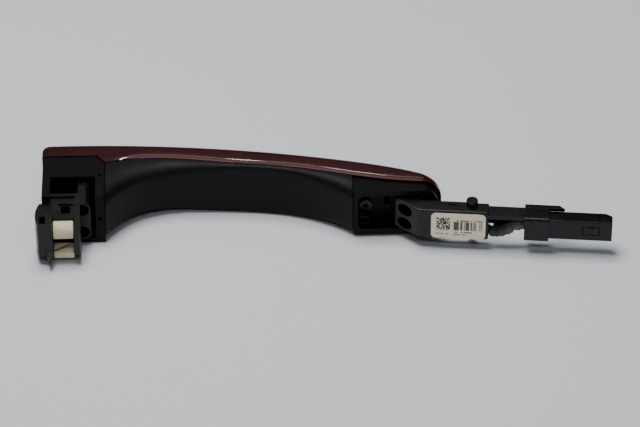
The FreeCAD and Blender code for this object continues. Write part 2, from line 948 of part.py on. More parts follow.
def pull_leg():
    """The hook that goes through the door and pulls the latch lever: base, fork, window and fin."""
    body = new_body("pull_leg")
    base_start = REAR + s.leg_base_start
    base_end = base_start + s.leg_base_length
    base_top = DOOR + s.rear_floor_height
    slot_start = REAR + s.leg_slot_start
    slot_end = slot_start + s.roller_length + 2 * s.roller_side_gap
    fork_start = slot_start - s.left_cheek
    fork_end = slot_end + s.right_cheek
    tip = DOOR - s.leg_reach
    # Base in the rear foot, kept clear of the foot's end wall
    add(
        body,
        "Y",
        DOOR - 2,
        base_top,
        rectangle(
            REAR + s.room_start + s.fit_gap,
            base_end,
            -LEG_TOP,
            LEG_TOP,
        ),
    )
    dress(
        body,
        "Fillet",
        3.5,
        lambda edge: along(edge, "Y") and abs(edge.CenterOfMass.x - number(base_end)) < 0.01,
    )
    # Fork
    add(body, "Z", -LEG_BOTTOM, LEG_TOP, rectangle(fork_start, fork_end, tip, DOOR))
    # Right cheek slopes back at its foot
    cut(
        body,
        "X",
        slot_end - 0.01,
        fork_end + 1,
        outline(
            *polygon(
                Vector(number(tip) - 1, number(LEG_TOP) + 1, 0),
                Vector(number(tip) - 1, number(LEG_TOP) - 9, 0),
                Vector(number(tip) + 8, number(LEG_TOP) + 1, 0),
            )
        ),
    )
    # Fin down the rear side, with its bulge
    fin_back = fork_start + 0.5
    fin_start = REAR - 0.8
    add(
        body,
        "Z",
        -LEG_BOTTOM + 0.4,
        LEG_TOP - 0.8,
        outline(
            Part.Arc(
                point(fin_start, DOOR - s.fit_gap),
                point(REAR - s.fin_bulge, DOOR - s.leg_reach * 0.5),
                point(REAR - s.fin_bulge / 2, tip + 1),
            ),
            Part.LineSegment(point(REAR - s.fin_bulge / 2, tip + 1), point(fin_back, tip)),
            Part.LineSegment(point(fin_back, tip), point(fin_back, DOOR - s.fit_gap)),
            Part.LineSegment(point(fin_back, DOOR - s.fit_gap), point(fin_start, DOOR - s.fit_gap)),
        ),
    )
    # Lower front of the fork and the fin slopes back
    bottom = number(LEG_BOTTOM)
    cut(
        body,
        "X",
        REAR - s.fin_bulge - 1,
        fork_end + 1,
        outline(
            *polygon(
                Vector(number(tip) - 1, -bottom + 4.7, 0),
                Vector(number(tip) - 1, -bottom - 1, 0),
                Vector(number(tip) + 2.8, -bottom - 1, 0),
            )
        ),
    )
    # Spike at the foot of the left cheek, thinner towards its tip
    spike_tip = tip - 5.5
    add(
        body,
        "X",
        fork_start,
        slot_start,
        outline(
            *polygon(
                Vector(number(tip) + 3.5, -bottom, 0),
                Vector(number(spike_tip), -bottom + 0.7, 0),
                Vector(number(tip) + 0.5, -bottom + 6, 0),
            )
        ),
    )
    for side, inner in ((fork_start, fork_start + 1.7), (slot_start, slot_start - 1.5)):
        outer = number(side) - 1 if number(inner) > number(side) else number(side) + 1
        cut(
            body,
            "Z",
            -LEG_BOTTOM - 1,
            -LEG_BOTTOM + 7,
            outline(
                *polygon(
                    Vector(number(side), number(tip) + 0.6, 0),
                    Vector(number(inner), number(spike_tip) - 0.1, 0),
                    Vector(outer, number(spike_tip) - 0.1, 0),
                    Vector(outer, number(tip) + 0.6, 0),
                )
            ),
        )
    # Slot for the rollers, open at the tip, with the window's floor bridging its upper end
    slot_back = DOOR - s.window_inset - s.window_length
    bridge_low = LEG_TOP - s.window_depth - s.bridge_thickness
    cut(
        body,
        "Z",
        -LEG_BOTTOM - 1,
        bridge_low,
        rectangle(slot_start, slot_end, tip - 6, slot_back),
    )
    cut(
        body,
        "Z",
        bridge_low - 0.1,
        LEG_TOP + 1,
        rectangle(slot_start, slot_end, tip - 6, DOOR - s.bridge_reach),
    )
    # Window in the upper face, and the square hole through it
    window = REAR + s.window_start
    cut(
        body,
        "Z",
        LEG_TOP - s.window_depth,
        LEG_TOP + 1,
        rectangle(window, window + 8.0, DOOR - s.bridge_reach - 1, DOOR - s.window_inset),
    )
    cut(
        body,
        "Z",
        -LEG_BOTTOM - 1,
        LEG_TOP + 1,
        rectangle(window + 1.2, window + 6.2, slot_back + 0.3, DOOR - s.window_inset - 1.0),
    )
    # Lower half of the base steps down from the tall corner
    cut(
        body,
        "Z",
        4.0,
        LEG_TOP + 1,
        rectangle(REAR, base_end - s.base_tall_part, DOOR + s.base_step, base_top + 1),
    )
    # Shallow groove across the top of the base
    cut(
        body,
        "Z",
        LEG_TOP - 1.2,
        LEG_TOP + 1,
        rectangle(fork_start + 1, slot_end, DOOR + 0.8, DOOR + 5.2),
    )
    # Pocket in the fin
    cut(
        body,
        "Z",
        LEG_TOP - 7,
        LEG_TOP + 1,
        rectangle(REAR - 0.5, fork_start - 0.1, tip + 1.7, DOOR - 12),
    )
    # Bores for the roller pins and the spring ends
    cut(
        body,
        "X",
        REAR - s.fin_bulge - 2,
        fork_end + 1,
        circle(DOOR - s.upper_roller_reach, s.upper_roller_height, s.roller_pin_radius + s.press_gap),
        circle(DOOR - s.lower_roller_reach, -s.lower_roller_drop, s.roller_pin_radius + s.press_gap),
    )
    dress(
        body,
        "Fillet",
        1.0,
        lambda edge: along(edge, "Z")
        and abs(edge.CenterOfMass.x - number(fork_end)) < 0.01
        and edge.CenterOfMass.y < number(tip) + 0.01
        and edge.Length > 5,
    )
    screws = [
        circle(LEG_SCREW_X, LEG_SCREW_Z, s.screw_radius + 0.2),
        circle(LEG_SCREW_X, -LEG_SCREW_Z, s.screw_radius + 0.2),
    ]
    heads = [
        circle(LEG_SCREW_X, LEG_SCREW_Z, s.screw_head_radius + 0.3),
        circle(LEG_SCREW_X, -LEG_SCREW_Z, s.screw_head_radius + 0.3),
    ]
    cut(body, "Y", DOOR - 3, base_top + 1, *screws)
    cut(body, "Y", DOOR - 3, base_top - 5.5, *heads)
    return keep("pull_leg", body)


def roller(label, reach, height, radius):
    """A white acetal roller with its bore."""
    start = REAR + s.leg_slot_start + s.roller_side_gap
    solid = cylinder(f"{label}_solid", "X", start, DOOR - reach, height, radius, s.roller_length)
    bore = cylinder(
        f"{label}_bore",
        "X",
        start - 1,
        DOOR - reach,
        height,
        s.roller_pin_radius + s.running_gap,
        s.roller_length + 2,
    )
    return keep(label, less(label, solid, bore))


def roller_pin(label, reach, height):
    """A steel pin across the fork."""
    start = REAR + s.leg_slot_start - s.left_cheek
    length = s.left_cheek + s.roller_length + 2 * s.roller_side_gap + s.right_cheek
    return keep(
        label,
        cylinder(label, "X", start, DOOR - reach, height, s.roller_pin_radius, length),
    )


def rounded_path(points, share=0.45):
    """A wire of straight runs joined by tangent arcs, each as large as its two runs allow."""
    edges = []
    start = points[0]
    for before, corner, after in zip(points, points[1:], points[2:]):
        back = (before - corner).normalize()
        ahead = (after - corner).normalize()
        half = back.getAngle(ahead) / 2
        run = share * min((before - corner).Length, (after - corner).Length)
        radius = run * math.tan(half)
        middle = (back + ahead).normalize()
        inner = corner + middle * (radius / math.sin(half) - radius)
        edges.append(Part.LineSegment(start, corner + back * run).toShape())
        edges.append(Part.Arc(corner + back * run, inner, corner + ahead * run).toShape())
        start = corner + ahead * run
    edges.append(Part.LineSegment(start, points[-1]).toShape())
    return Part.Wire(edges)


def swept(path, radius):
    """A round rod along a path."""
    first = path.Edges[0]
    start = first.valueAt(first.FirstParameter)
    profile = Part.Wire(Part.Circle(start, first.tangentAt(first.FirstParameter), radius).toShape())
    shape = path.makePipeShell([profile], True, False)
    if abs(shape.Volume / (math.pi * radius * radius * path.Length) - 1) > 0.02:
        raise RuntimeError("a sweep has the wrong volume")
    return shape


def feature(label, shape):
    """A finished shape that is made along a path."""
    thing = doc.addObject("Part::Feature", label)
    thing.Shape = shape
    return thing


def keeper_spring():
    """The spring wire that lies across the fork's mouth, between the rollers."""
    wire = number(s.spring_wire) / 2
    left = number(REAR + s.leg_slot_start)
    right = left + number(s.roller_length + 2 * s.roller_side_gap)
    y = number(DOOR - s.leg_reach) + 0.9
    points = [
        Vector(left + 0.4, y, -6.8),
        Vector(left + 2.6, y, -6.0),
        Vector(right - 2.8, y, -2.9),
        Vector(right - 0.4, y, -2.2),
    ]
    return keep("keeper_spring", feature("keeper_spring", swept(rounded_path(points), wire)))


# Hinge arm


def on_arm(u, v):
    """A point in the frame, from its place along the arm and out from the door."""
    turn = math.radians(-number(s.arm_angle))
    along_arm, out = number(u), number(v)
    return Vector(
        along_arm * math.cos(turn) - out * math.sin(turn),
        along_arm * math.sin(turn) + out * math.cos(turn),
        0,
    )


def lean(body):
    """Turns a piece that is drawn along the arm to the arm's own angle."""
    body.Placement = FreeCAD.Placement(Vector(), FreeCAD.Rotation(Vector(0, 0, -1), number(s.arm_angle)))
    body.setExpression("Placement.Rotation.Angle", s.arm_angle.text)
    return body


def hinge_arm():
    """The arm that reaches into the door, with its pivot bore, lead channel and tongue."""
    body = new_body("hinge_arm")
    floor = number(DOOR + s.recess_depth)
    face = on_arm(-s.arm_face_start, -s.arm_front)
    plan = [
        Vector(number(ROOT_REAR), floor, 0),
        Vector(number(ROOT_REAR), number(DOOR) + 0.5, 0),
        face,
        on_arm(s.arm_end, -s.arm_front),
        on_arm(s.arm_end, s.arm_back),
        on_arm(-number(s.hinge_ahead) - 14.5, s.arm_back),
        Vector(number(ROOT_FRONT), number(DOOR) + 2.0, 0),
        Vector(number(ROOT_FRONT), floor, 0),
    ]
    add(
        body,
        "Z",
        -ARM_HALF,
        ARM_HALF,
        outline(*rounded(plan, [0, 3, 6, 1.2, 1.2, 1.5, 1.5, 0])),
    )
    # Channel for the lead, open towards the door skin, deeper at the end of the arm
    half = LEAD_CHANNEL / 2
    deep = s.arm_back - s.lead_depth - half
    channel = polygon(
        on_arm(-29, deep),
        on_arm(s.arm_end + 1, deep),
        on_arm(s.arm_end + 1, s.arm_back + 3),
        on_arm(-20, s.arm_back + 8),
        Vector(number(ROOT_FRONT) + 1, floor + 1, 0),
        Vector(number(LEAD_HOLE_X) - 3.0, floor + 1, 0),
        Vector(number(LEAD_HOLE_X) - 3.0, number(DOOR) + 1, 0),
    )
    cut(body, "Z", -half, half, outline(*channel))
    start = polygon(
        on_arm(1.0, deep),
        on_arm(s.stud_radius + 1.0, deep),
        on_arm(s.stud_radius + 1.0, s.arm_back + 3),
        on_arm(1.0, s.arm_back + 3),
    )
    cut(body, "Z", -ARM_HALF + STUD_SEAT + 0.05, 0, outline(*start))
    drop = polygon(
        on_arm(s.stud_radius + 0.8, deep - 1.2),
        on_arm(s.arm_end + 1, deep - 1.2),
        on_arm(s.arm_end + 1, s.arm_back + 3),
        on_arm(s.stud_radius + 0.8, s.arm_back + 3),
    )
    cut(body, "Z", -ARM_HALF + 1, 0, outline(*drop))
    # Low pad on top of the arm
    pad = polygon(on_arm(-13, -1.4), on_arm(-8, -1.4), on_arm(-8, 0), on_arm(-13, 0))
    add(body, "Z", ARM_HALF - 0.1, ARM_HALF + 0.5, outline(*pad))
    # Tongue that carries the connector
    tongue = polygon(
        on_arm(s.arm_end - 3, -s.arm_front),
        on_arm(s.holder_start, -s.arm_front),
        on_arm(s.holder_start, s.arm_back - 0.1),
        on_arm(s.arm_end - 3, s.arm_back - 0.1),
    )
    tongue_top = ARM_HALF - s.tongue_set_down
    add(body, "Z", tongue_top - s.tongue_thickness, tongue_top, outline(*tongue))
    # Rib under the tongue's back edge
    rib = polygon(
        on_arm(s.arm_end - 1, s.arm_back - 1.3),
        on_arm(s.holder_start, s.arm_back - 1.3),
        on_arm(s.holder_start, s.arm_back - 0.1),
        on_arm(s.arm_end - 1, s.arm_back - 0.1),
    )
    add(body, "Z", -3.4, tongue_top - 0.1, outline(*rib))
    # Lower edge of the rib, behind the taped lead
    edge = polygon(
        on_arm(s.arm_end + 2.5, s.arm_back - 1.3),
        on_arm(s.holder_start - 1.5, s.arm_back - 1.3),
        on_arm(s.holder_start - 1.5, s.arm_back - 0.1),
        on_arm(s.arm_end + 2.5, s.arm_back - 0.1),
    )
    add(body, "Z", -5.8, -3.3, outline(*edge))
    # Seats for the two pivot studs
    seat = circle(0.0, 0.0, s.stud_shank_radius + s.press_gap)
    cut(body, "Z", ARM_HALF - STUD_SEAT, ARM_HALF + 1, seat)
    cut(body, "Z", -ARM_HALF - 1, -(ARM_HALF - STUD_SEAT), seat)
    # Screw holes
    for z in (ARM_SCREW_Z, -ARM_SCREW_Z):
        cut(body, "Y", -FAR, FAR, circle(ARM_SCREW_X, z, s.screw_radius + 0.2))
        cut(
            body,
            "Y",
            -FAR,
            DOOR + s.recess_depth - 4,
            circle(ARM_SCREW_X, z, s.screw_head_radius + 0.3),
        )
    dress(
        body,
        "Fillet",
        0.8,
        lambda edge: abs(edge.CenterOfMass.z) > number(ARM_HALF) - 0.01
        and edge.Length > 20
        and edge.CenterOfMass.y < number(DOOR) - 5,
    )
    return keep("hinge_arm", body)


def pivot_studs():
    """The two studs that the handle swings on, one pressed into each side of the arm."""
    studs = []
    for name, sense in (("upper", 1), ("lower", -1)):
        face = ARM_HALF * sense
        out = s.stud_stand_out
        seat = STUD_SEAT
        journal_low = face if sense > 0 else face - out
        shank_low = face - seat if sense > 0 else face
        journal = cylinder(f"{name}_journal", "Z", 0.0, 0.0, journal_low, s.stud_radius, out)
        shank = cylinder(f"{name}_shank", "Z", 0.0, 0.0, shank_low, s.stud_shank_radius, seat)
        studs.append(joined(f"{name}_stud", journal, shank))
    return keep("pivot_studs", together("pivot_studs", *studs))


def part_label():
    """The white sticker on the arm's inner face."""
    body = new_body("part_label")
    end = s.arm_end - s.label_margin
    low = number(end - s.label_length)
    high = number(end)
    bottom = number(-s.label_drop - s.label_height / 2)
    top = number(s.label_height / 2 - s.label_drop)
    corners = [Vector(low, bottom, 0), Vector(high, bottom, 0), Vector(high, top, 0), Vector(low, top, 0)]
    add(
        body,
        "Y",
        -s.arm_front - s.label_thickness,
        -s.arm_front,
        outline(*rounded(corners, [number(s.label_corner)] * 4)),
    )
    return keep("part_label", lean(body))


# Connector

BACK_V = 1.8  # outer face of the connector, across the arm
CONNECTOR_START = s.holder_start + 2
CONNECTOR_END = CONNECTOR_START + s.connector_length
FRONT_V = BACK_V - s.connector_depth
MIDDLE_V = (BACK_V + FRONT_V) / 2


def connector_holder():
    """The collar and clip plate that hold the connector on the arm's tongue."""
    body = new_body("connector_holder")
    half = s.connector_height / 2
    gap = s.fit_gap
    wall = s.holder_wall
    high = half + gap / 2 + wall
    back = BACK_V + gap / 2 + wall
    front = FRONT_V - gap / 2 - wall
    finish = s.holder_start + s.holder_length
    add(body, "X", s.holder_start, finish, rectangle(front, back, -high, high))
    dress(
        body,
        "Fillet",
        1.8,
        lambda edge: along(edge, "X") and edge.CenterOfMass.y < number(front) + 0.1,
    )
    # Clip plate along the upper back edge
    add(
        body,
        "Z",
        half - 0.6,
        high + 0.25,
        outline(
            *polygon(
                point(s.holder_start, back - s.clip_plate_thickness + 1.2),
                point(s.holder_start + s.clip_plate_length, back - s.clip_plate_thickness + 1.2),
                point(s.holder_start + s.clip_plate_length - 3, back + 1.2),
                point(s.holder_start, back + 1.2),
            )
        ),
    )
    # Room for the connector, the wires and the tongue
    cut(
        body,
        "X",
        CONNECTOR_START - gap,
        finish + 20,
        rectangle(FRONT_V - gap / 2, BACK_V + gap / 2, -half - gap / 2, half + gap / 2),
    )
    cut(
        body,
        "X",
        s.holder_start - 2,
        CONNECTOR_START,
        circle(MIDDLE_V, 0.0, s.tape_diameter / 2 + s.fit_gap),
    )
    return keep("connector_holder", lean(body))


def connector_housing():
    """The socket housing, with its seam, side rails and bevelled end."""
    body = new_body("connector_housing")
    half = s.connector_height / 2
    add(
        body,
        "X",
        CONNECTOR_START,
        CONNECTOR_END,
        rectangle(FRONT_V, BACK_V, -half, half),
    )
    end = number(CONNECTOR_END)
    # Bevel at the back of the free end
    cut(
        body,
        "Z",
        -half - 1,
        half + 1,
        outline(
            *polygon(
                Vector(end - number(s.connector_bevel), number(BACK_V) + 0.1, 0),
                Vector(end + 0.1, number(BACK_V) - number(s.connector_bevel) * 0.62, 0),
                Vector(end + 0.1, number(BACK_V) + 0.1, 0),
            )
        ),
    )
    dress(
        body,
        "Fillet",
        0.7,
        lambda edge: along(edge, "X") and edge.Length > 20,
    )
    # Groove between the two rails along the upper front edge
    rail_start = s.holder_start + s.holder_length + 0.6
    cut(
        body,
        "Y",
        FRONT_V - 1,
        FRONT_V + 0.45,
        rectangle(rail_start, CONNECTOR_END + 1, -half - 1, half - 2.9),
    )
    cut(
        body,
        "Z",
        half - 0.45,
        half + 1,
        rectangle(rail_start, CONNECTOR_END + 1, FRONT_V + 2.4, BACK_V + 1),
    )
    # Socket, open at the free end
    wall = s.connector_wall
    socket = s.socket_depth
    cut(
        body,
        "X",
        CONNECTOR_END - socket,
        CONNECTOR_END + 1,
        rectangle(FRONT_V + wall + 0.45, BACK_V - wall, -half + wall, half - wall - 0.45),
    )
    # Wire end, for the seal
    cut(
        body,
        "X",
        CONNECTOR_START - 1,
        CONNECTOR_START + 8,
        circle(MIDDLE_V, 0.0, s.connector_depth / 2 - wall),
    )
    # Four cavities for the terminals
    for v, z in TERMINALS:
        reach = s.terminal_size / 2 + 0.02
        cut(
            body,
            "X",
            CONNECTOR_START + 7,
            CONNECTOR_END - socket + 1,
            rectangle(v - reach, v + reach, z - reach, z + reach),
        )
    # Window for the latch
    latch_start = CONNECTOR_END - s.latch_length - s.latch_set_back
    gap = s.latch_gap
    cut(
        body,
        "Y",
        FRONT_V - 1,
        FRONT_V + wall + 1,
        rectangle(
            latch_start - gap,
            latch_start + s.latch_length + gap,
            -s.latch_width / 2 - gap,
            s.latch_width / 2 + gap,
        ),
    )
    return keep("connector_housing", lean(body))


TERMINALS = [(MIDDLE_V + v, z) for v in (-1.3, 1.3) for z in (-1.9, 1.9)]


def connector_latch():
    """The springy tongue that snaps over the mating plug, with its catch."""
    body = new_body("connector_latch")
    start = CONNECTOR_END - s.latch_length - s.latch_set_back
    face = FRONT_V + 0.45
    half = s.latch_width / 2
    root = s.latch_thickness / 2
    add(body, "X", start + root, start + s.latch_length, rectangle(face, face + s.latch_thickness, -half, half))
    # Round root, on which the tongue bends
    add(body, "Z", -half, half, circle(start + root, face + root, root))
    add(
        body,
        "Z",
        -half + 0.6,
        half - 0.6,
        outline(
            *polygon(
                point(start + s.latch_length - 5.5, face + 0.2),
                point(start + s.latch_length - 5.5, face - 0.45),
                point(start + s.latch_length - 3.5, face - 0.8),
                point(start + s.latch_length - 2.0, face + 0.2),
            )
        ),
    )
    return keep("connector_latch", lean(body))


def terminals():
    """The four square pins of the connector."""
    body_list = []
    start = CONNECTOR_START + 7
    for i, (v, z) in enumerate(TERMINALS):
        body = new_body(f"terminal{i}")
        reach = s.terminal_size / 2
        square = rectangle(v - reach, v + reach, z - reach, z + reach)
        add(body, "X", start, start + s.terminal_length, square)
        body_list.append(lean(body))
    return keep("terminals", together("terminals", *body_list))


def wire_seal():
    """The soft plug that seals the wires where they enter the connector."""
    body = new_body("wire_seal")
    radius = s.connector_depth / 2 - s.connector_wall
    add(body, "X", CONNECTOR_START + 1, CONNECTOR_START + 7, circle(MIDDLE_V, 0.0, radius - 0.05))
    return keep("wire_seal", lean(body))


# Lead


def lead_points():
    """The corners of the lead's route, from the board down the strap and along the arm."""
    floor = number(DOOR + s.recess_depth + s.carrier_floor)
    aside = -number(s.lead_aside)
    hole = number(LEAD_HOLE_X)
    screw = number(COVER_SCREW_X)
    board_end = number(REAR + s.board_from_rear + s.board_length)
    middle = number(MIDDLE)
    in_arm = number(s.arm_back - s.lead_depth)
    route = [
        Vector(board_end + 3, height_on(ARCH, board_end + 3) + 9.5, aside),
        Vector(middle + 4, height_on(ARCH, middle + 4) + 9, aside),
        Vector(number(ARCH_END) - 26, height_on(ARCH, number(ARCH_END) - 26) + 10.5, aside),
        Vector(screw - 3, floor + 7.5, aside),
        Vector(screw + 8, floor + 5, aside + 0.4),
        Vector(hole - 1, floor + 4, 0),
        Vector(hole + 0.5, floor - 6, 0),
        Vector(hole + 5, floor - 14, 0),
    ]
    stations = [
        (-20.0, in_arm, 0.0),
        (2.5, in_arm, 0.0),
        (s.arm_end + 2.5, in_arm - 1.6, -s.lead_drop),
        (s.arm_end + 8, in_arm - 2.4, -s.lead_drop + 1.1),
        (s.arm_end + 15, MIDDLE_V, -0.4),
        (CONNECTOR_START + 0.8, MIDDLE_V, 0.0),
    ]
    for u, v, z in stations:
        at = on_arm(u, v)
        route.append(Vector(at.x, at.y, number(z)))
    return route


def lead():
    """The jacketed lead, and the tape wound round it between the arm and the connector."""
    path = rounded_path(lead_points())
    keep("lead", feature("lead", swept(path, number(s.lead_diameter) / 2)))
    taped = Part.Wire(path.Edges[TAPE_START:])
    sleeve = swept(taped, number(s.tape_diameter) / 2)
    core = swept(taped, number(s.lead_diameter) / 2 + 0.02)
    return keep("taped_bundle", feature("taped_bundle", sleeve.cut(core)))


TAPE_START = 19  # the straight run that comes out of the arm


# Request button and electronics

BUTTON_X = REAR + s.button_from_rear
FLANGE_DROP = number(DOOR + s.crown_rear) - height_on(CROWN, number(BUTTON_X)) + 0.45
FLANGE_TOP = DOOR + s.crown_rear - s.cover_wall - FLANGE_DROP
BOARD_TOP = FLANGE_TOP - s.button_flange - s.button_travel - s.switch_height - 0.4


def request_button():
    """The lock button in the painted face, with the flange that keeps it in."""
    body = new_body("request_button")
    face = number(DOOR) + (height_on(CROWN, number(BUTTON_X)) - number(DOOR)) + number(s.button_stand_out)
    add(
        body,
        "Y",
        FLANGE_TOP - 0.2,
        Size(face, f"({words(face)})"),
        outline(*button_outline(BUTTON_X, s.button_length, s.button_width)),
    )
    dress(
        body,
        "Fillet",
        0.8,
        lambda edge: edge.CenterOfMass.y > face - 0.01,
    )
    add(
        body,
        "Y",
        FLANGE_TOP - s.button_flange,
        FLANGE_TOP,
        outline(*button_outline(BUTTON_X, s.button_length + 4, s.button_width + 4)),
    )
    # Nib that presses the switch
    add(
        body,
        "Y",
        FLANGE_TOP - s.button_flange - 0.3,
        FLANGE_TOP - s.button_flange + 0.1,
        circle(BUTTON_X, 0.0, 1.6),
    )
    return keep("request_button", body)


def tact_switch():
    """The small switch under the button, and its plunger, which stays against the button."""
    top = BOARD_TOP + s.switch_height - 1.0
    case = block("switch_case", BUTTON_X - 3.1, BOARD_TOP, -3.1, 6.2, s.switch_height - 1.0, 6.2)
    well = cylinder("switch_well", "Y", BUTTON_X, top - 1.2, 0.0, 1.75, 2.0)
    keep("tact_switch", less("tact_switch", case, well))
    nib = FLANGE_TOP - s.button_flange - 0.3
    plunger = cylinder("switch_plunger", "Y", BUTTON_X, top - 0.4, 0.0, 1.65, nib - 0.02 - (top - 0.4))
    keep("switch_plunger", plunger)


def sensor_board():
    """The circuit board, on the carrier's beam."""
    half = HALF_WIDTH - s.cover_wall - 3.4
    board = block(
        "board_blank",
        REAR + s.board_from_rear,
        BOARD_TOP - s.board_thickness,
        -half,
        s.board_length,
        s.board_thickness,
        2 * half,
    )
    return keep("sensor_board", board)


def board_parts():
    """Chip, filter coil, capacitors and wire header on the board."""
    x = REAR + s.board_from_rear
    pieces = [
        block("chip", x + 30, BOARD_TOP, -4.5, 9.0, 1.3, 9.0),
        block("coil", x + 43, BOARD_TOP, -8.0, 6.0, 2.6, 6.0),
        block("header", x + 57, BOARD_TOP, -5.0, 5.0, 2.8, 10.0),
    ]
    for i in range(4):
        pieces.append(block(f"capacitor{i}", x + 43 + 3.2 * i, BOARD_TOP, 2.5, 1.6, 0.9, 3.2))
    return keep("board_parts", together("board_parts", *pieces))


def board_posts():
    """Two posts that carry the board over the rear foot and the beam."""
    floor = DOOR + s.rear_floor_height + s.carrier_floor
    low = block(
        "rear_post",
        REAR + s.board_from_rear + 1,
        floor,
        -4.0,
        5.0,
        BOARD_TOP - s.board_thickness - floor,
        8.0,
    )
    at = number(REAR + s.board_from_rear + s.board_length) - 12
    channel = shifted(ARCH, number(s.liner_wall + s.fit_gap + s.carrier_floor))
    base = height_on(channel, at + 5) + 0.25
    top = number(BOARD_TOP - s.board_thickness)
    high = block("front_post", at, base, -4.0, 5.0, top - base, 8.0)
    return keep("board_posts", together("board_posts", low, high))


def antenna_place():
    """Where the aerial lies: its middle, and its slope with the strap."""
    x = number(REAR + s.board_from_rear + s.board_length) + number(s.antenna_length) / 2 + 7
    channel = shifted(ARCH, number(s.liner_wall + s.fit_gap + s.carrier_floor))
    ends = [x - number(s.antenna_length) / 2, x, x + number(s.antenna_length) / 2]
    slope = math.tan(math.radians(number(s.antenna_angle)))
    reach = number(s.ferrite_thickness) / 2 + number(s.bobbin_wall) + number(s.winding_build)
    y = max(height_on(channel, at) + slope * (at - x) for at in ends[:2]) + reach + 1.6
    z = number(CHANNEL_HALF - 1.4 - s.ferrite_width / 2 - s.bobbin_wall - s.winding_build)
    return Vector(x, y, z), FreeCAD.Rotation(Vector(0, 0, -1), number(s.antenna_angle))


def centred_block(name, length, thickness, width):
    """A box around the aerial's own middle."""
    box = doc.addObject("Part::Box", name)
    bind(box, "Length", length)
    bind(box, "Width", thickness)
    bind(box, "Height", width)
    return place(box, -length / 2, -thickness / 2, -width / 2)


def turned(label, thing):
    """Puts a piece of the aerial into the strap."""
    middle, turn = antenna_place()
    thing.Placement = FreeCAD.Placement(middle, turn)
    return keep(label, thing)


def aerial():
    """The low-frequency aerial: ferrite bar, its former and the copper winding."""
    length = s.antenna_length
    thick = s.ferrite_thickness
    wide = s.ferrite_width
    wall = s.bobbin_wall
    build = s.winding_build
    ferrite = together("ferrite_bar", centred_block("ferrite", length - 4, thick, wide))
    turned("ferrite_bar", ferrite)
    tube_outer = centred_block("former_tube", length - 3, thick + 2 * wall, wide + 2 * wall)
    flange = thick + 2 * wall + 2 * build
    flange_wide = wide + 2 * wall + 2 * build
    cheeks = []
    for i, side in enumerate((-1, 1)):
        cheek = doc.addObject("Part::Box", f"former_cheek{i}")
        bind(cheek, "Length", wall * 2)
        bind(cheek, "Width", flange)
        bind(cheek, "Height", flange_wide)
        place(cheek, side * (length / 2 - wall) - wall, -flange / 2, -flange_wide / 2)
        cheeks.append(cheek)
    solid = joined("former_solid", tube_outer, *cheeks)
    bore = centred_block("former_bore", length + 4, thick + 0.04, wide + 0.04)
    turned("aerial_former", less("aerial_former", solid, bore))
    coil = centred_block("coil_outer", length - 12, flange, flange_wide)
    hole = centred_block("coil_hole", length, thick + 2 * wall + 0.04, wide + 2 * wall + 0.04)
    turned("aerial_winding", less("aerial_winding", coil, hole))


def aerial_pads():
    """Two foam pads that hold the aerial off the beam."""
    middle, turn = antenna_place()
    reach = number(s.ferrite_thickness) / 2 + number(s.bobbin_wall) + number(s.winding_build)
    wide = number(s.ferrite_width)
    channel = shifted(ARCH, number(s.liner_wall + s.fit_gap + s.carrier_floor))
    pads = []
    for i, at in enumerate((-20.0, 14.0)):
        x = middle.x + at
        top = min(
            (middle + turn.multVec(Vector(at + side, -reach, 0))).y for side in (0.0, 6.0)
        )
        base = max(height_on(channel, x), height_on(channel, x + 6)) + 0.2
        pads.append(block(f"pad{i}", x, base, middle.z - wide / 2, 6.0, top - base - 0.1, wide))
    return keep("aerial_pads", together("aerial_pads", *pads))


# Fasteners


def screw(name, x, y, z, length, sense=1):
    """A pan-head screw that goes in along +Y, with its six-lobe recess left as a plain socket."""
    high = s.screw_head_height
    head = cylinder(f"{name}_head", "Y", x, y - high, z, s.screw_head_radius, high)
    shank = cylinder(f"{name}_shank", "Y", x, y - 0.1, z, s.screw_radius, length)
    socket = cylinder(f"{name}_socket", "Y", x, y - s.screw_head_height - 1, z, s.screw_radius * 0.8, 2.4)
    return less(f"{name}_screw", joined(f"{name}_solid", head, shank), socket)


def screws():
    """All the screws, each group in its own node."""
    arm_seat = DOOR + s.recess_depth - 4
    arm = [
        screw(f"arm{i}", ARM_SCREW_X, arm_seat, z, s.screw_length)
        for i, z in enumerate((ARM_SCREW_Z, -ARM_SCREW_Z))
    ]
    keep("arm_screws", together("arm_screws", *arm))
    leg_seat = DOOR + s.rear_floor_height - 5.5
    leg = [
        screw(f"leg{i}", LEG_SCREW_X, leg_seat, z, s.screw_length)
        for i, z in enumerate((LEG_SCREW_Z, -LEG_SCREW_Z))
    ]
    keep("leg_screws", together("leg_screws", *leg))
    seat = DOOR + s.recess_depth
    keep("cover_screw", screw("cover", COVER_SCREW_X, seat, 0.0, s.screw_length))


def main():
    painted_cover()
    grip_liner()
    carrier()
    pull_leg()
    roller("upper_roller", s.upper_roller_reach, s.upper_roller_height, s.upper_roller_radius)
    roller("lower_roller", s.lower_roller_reach, -s.lower_roller_drop, s.lower_roller_radius)
    roller_pin("upper_roller_pin", s.upper_roller_reach, s.upper_roller_height)
    roller_pin("lower_roller_pin", s.lower_roller_reach, -s.lower_roller_drop)
    keeper_spring()
    hinge_arm()
    pivot_studs()
    part_label()
    connector_holder()
    connector_housing()
    connector_latch()
    terminals()
    wire_seal()
    lead()
    request_button()
    tact_switch()
    sensor_board()
    board_parts()
    board_posts()
    aerial()
    aerial_pads()
    screws()
    write_parts()


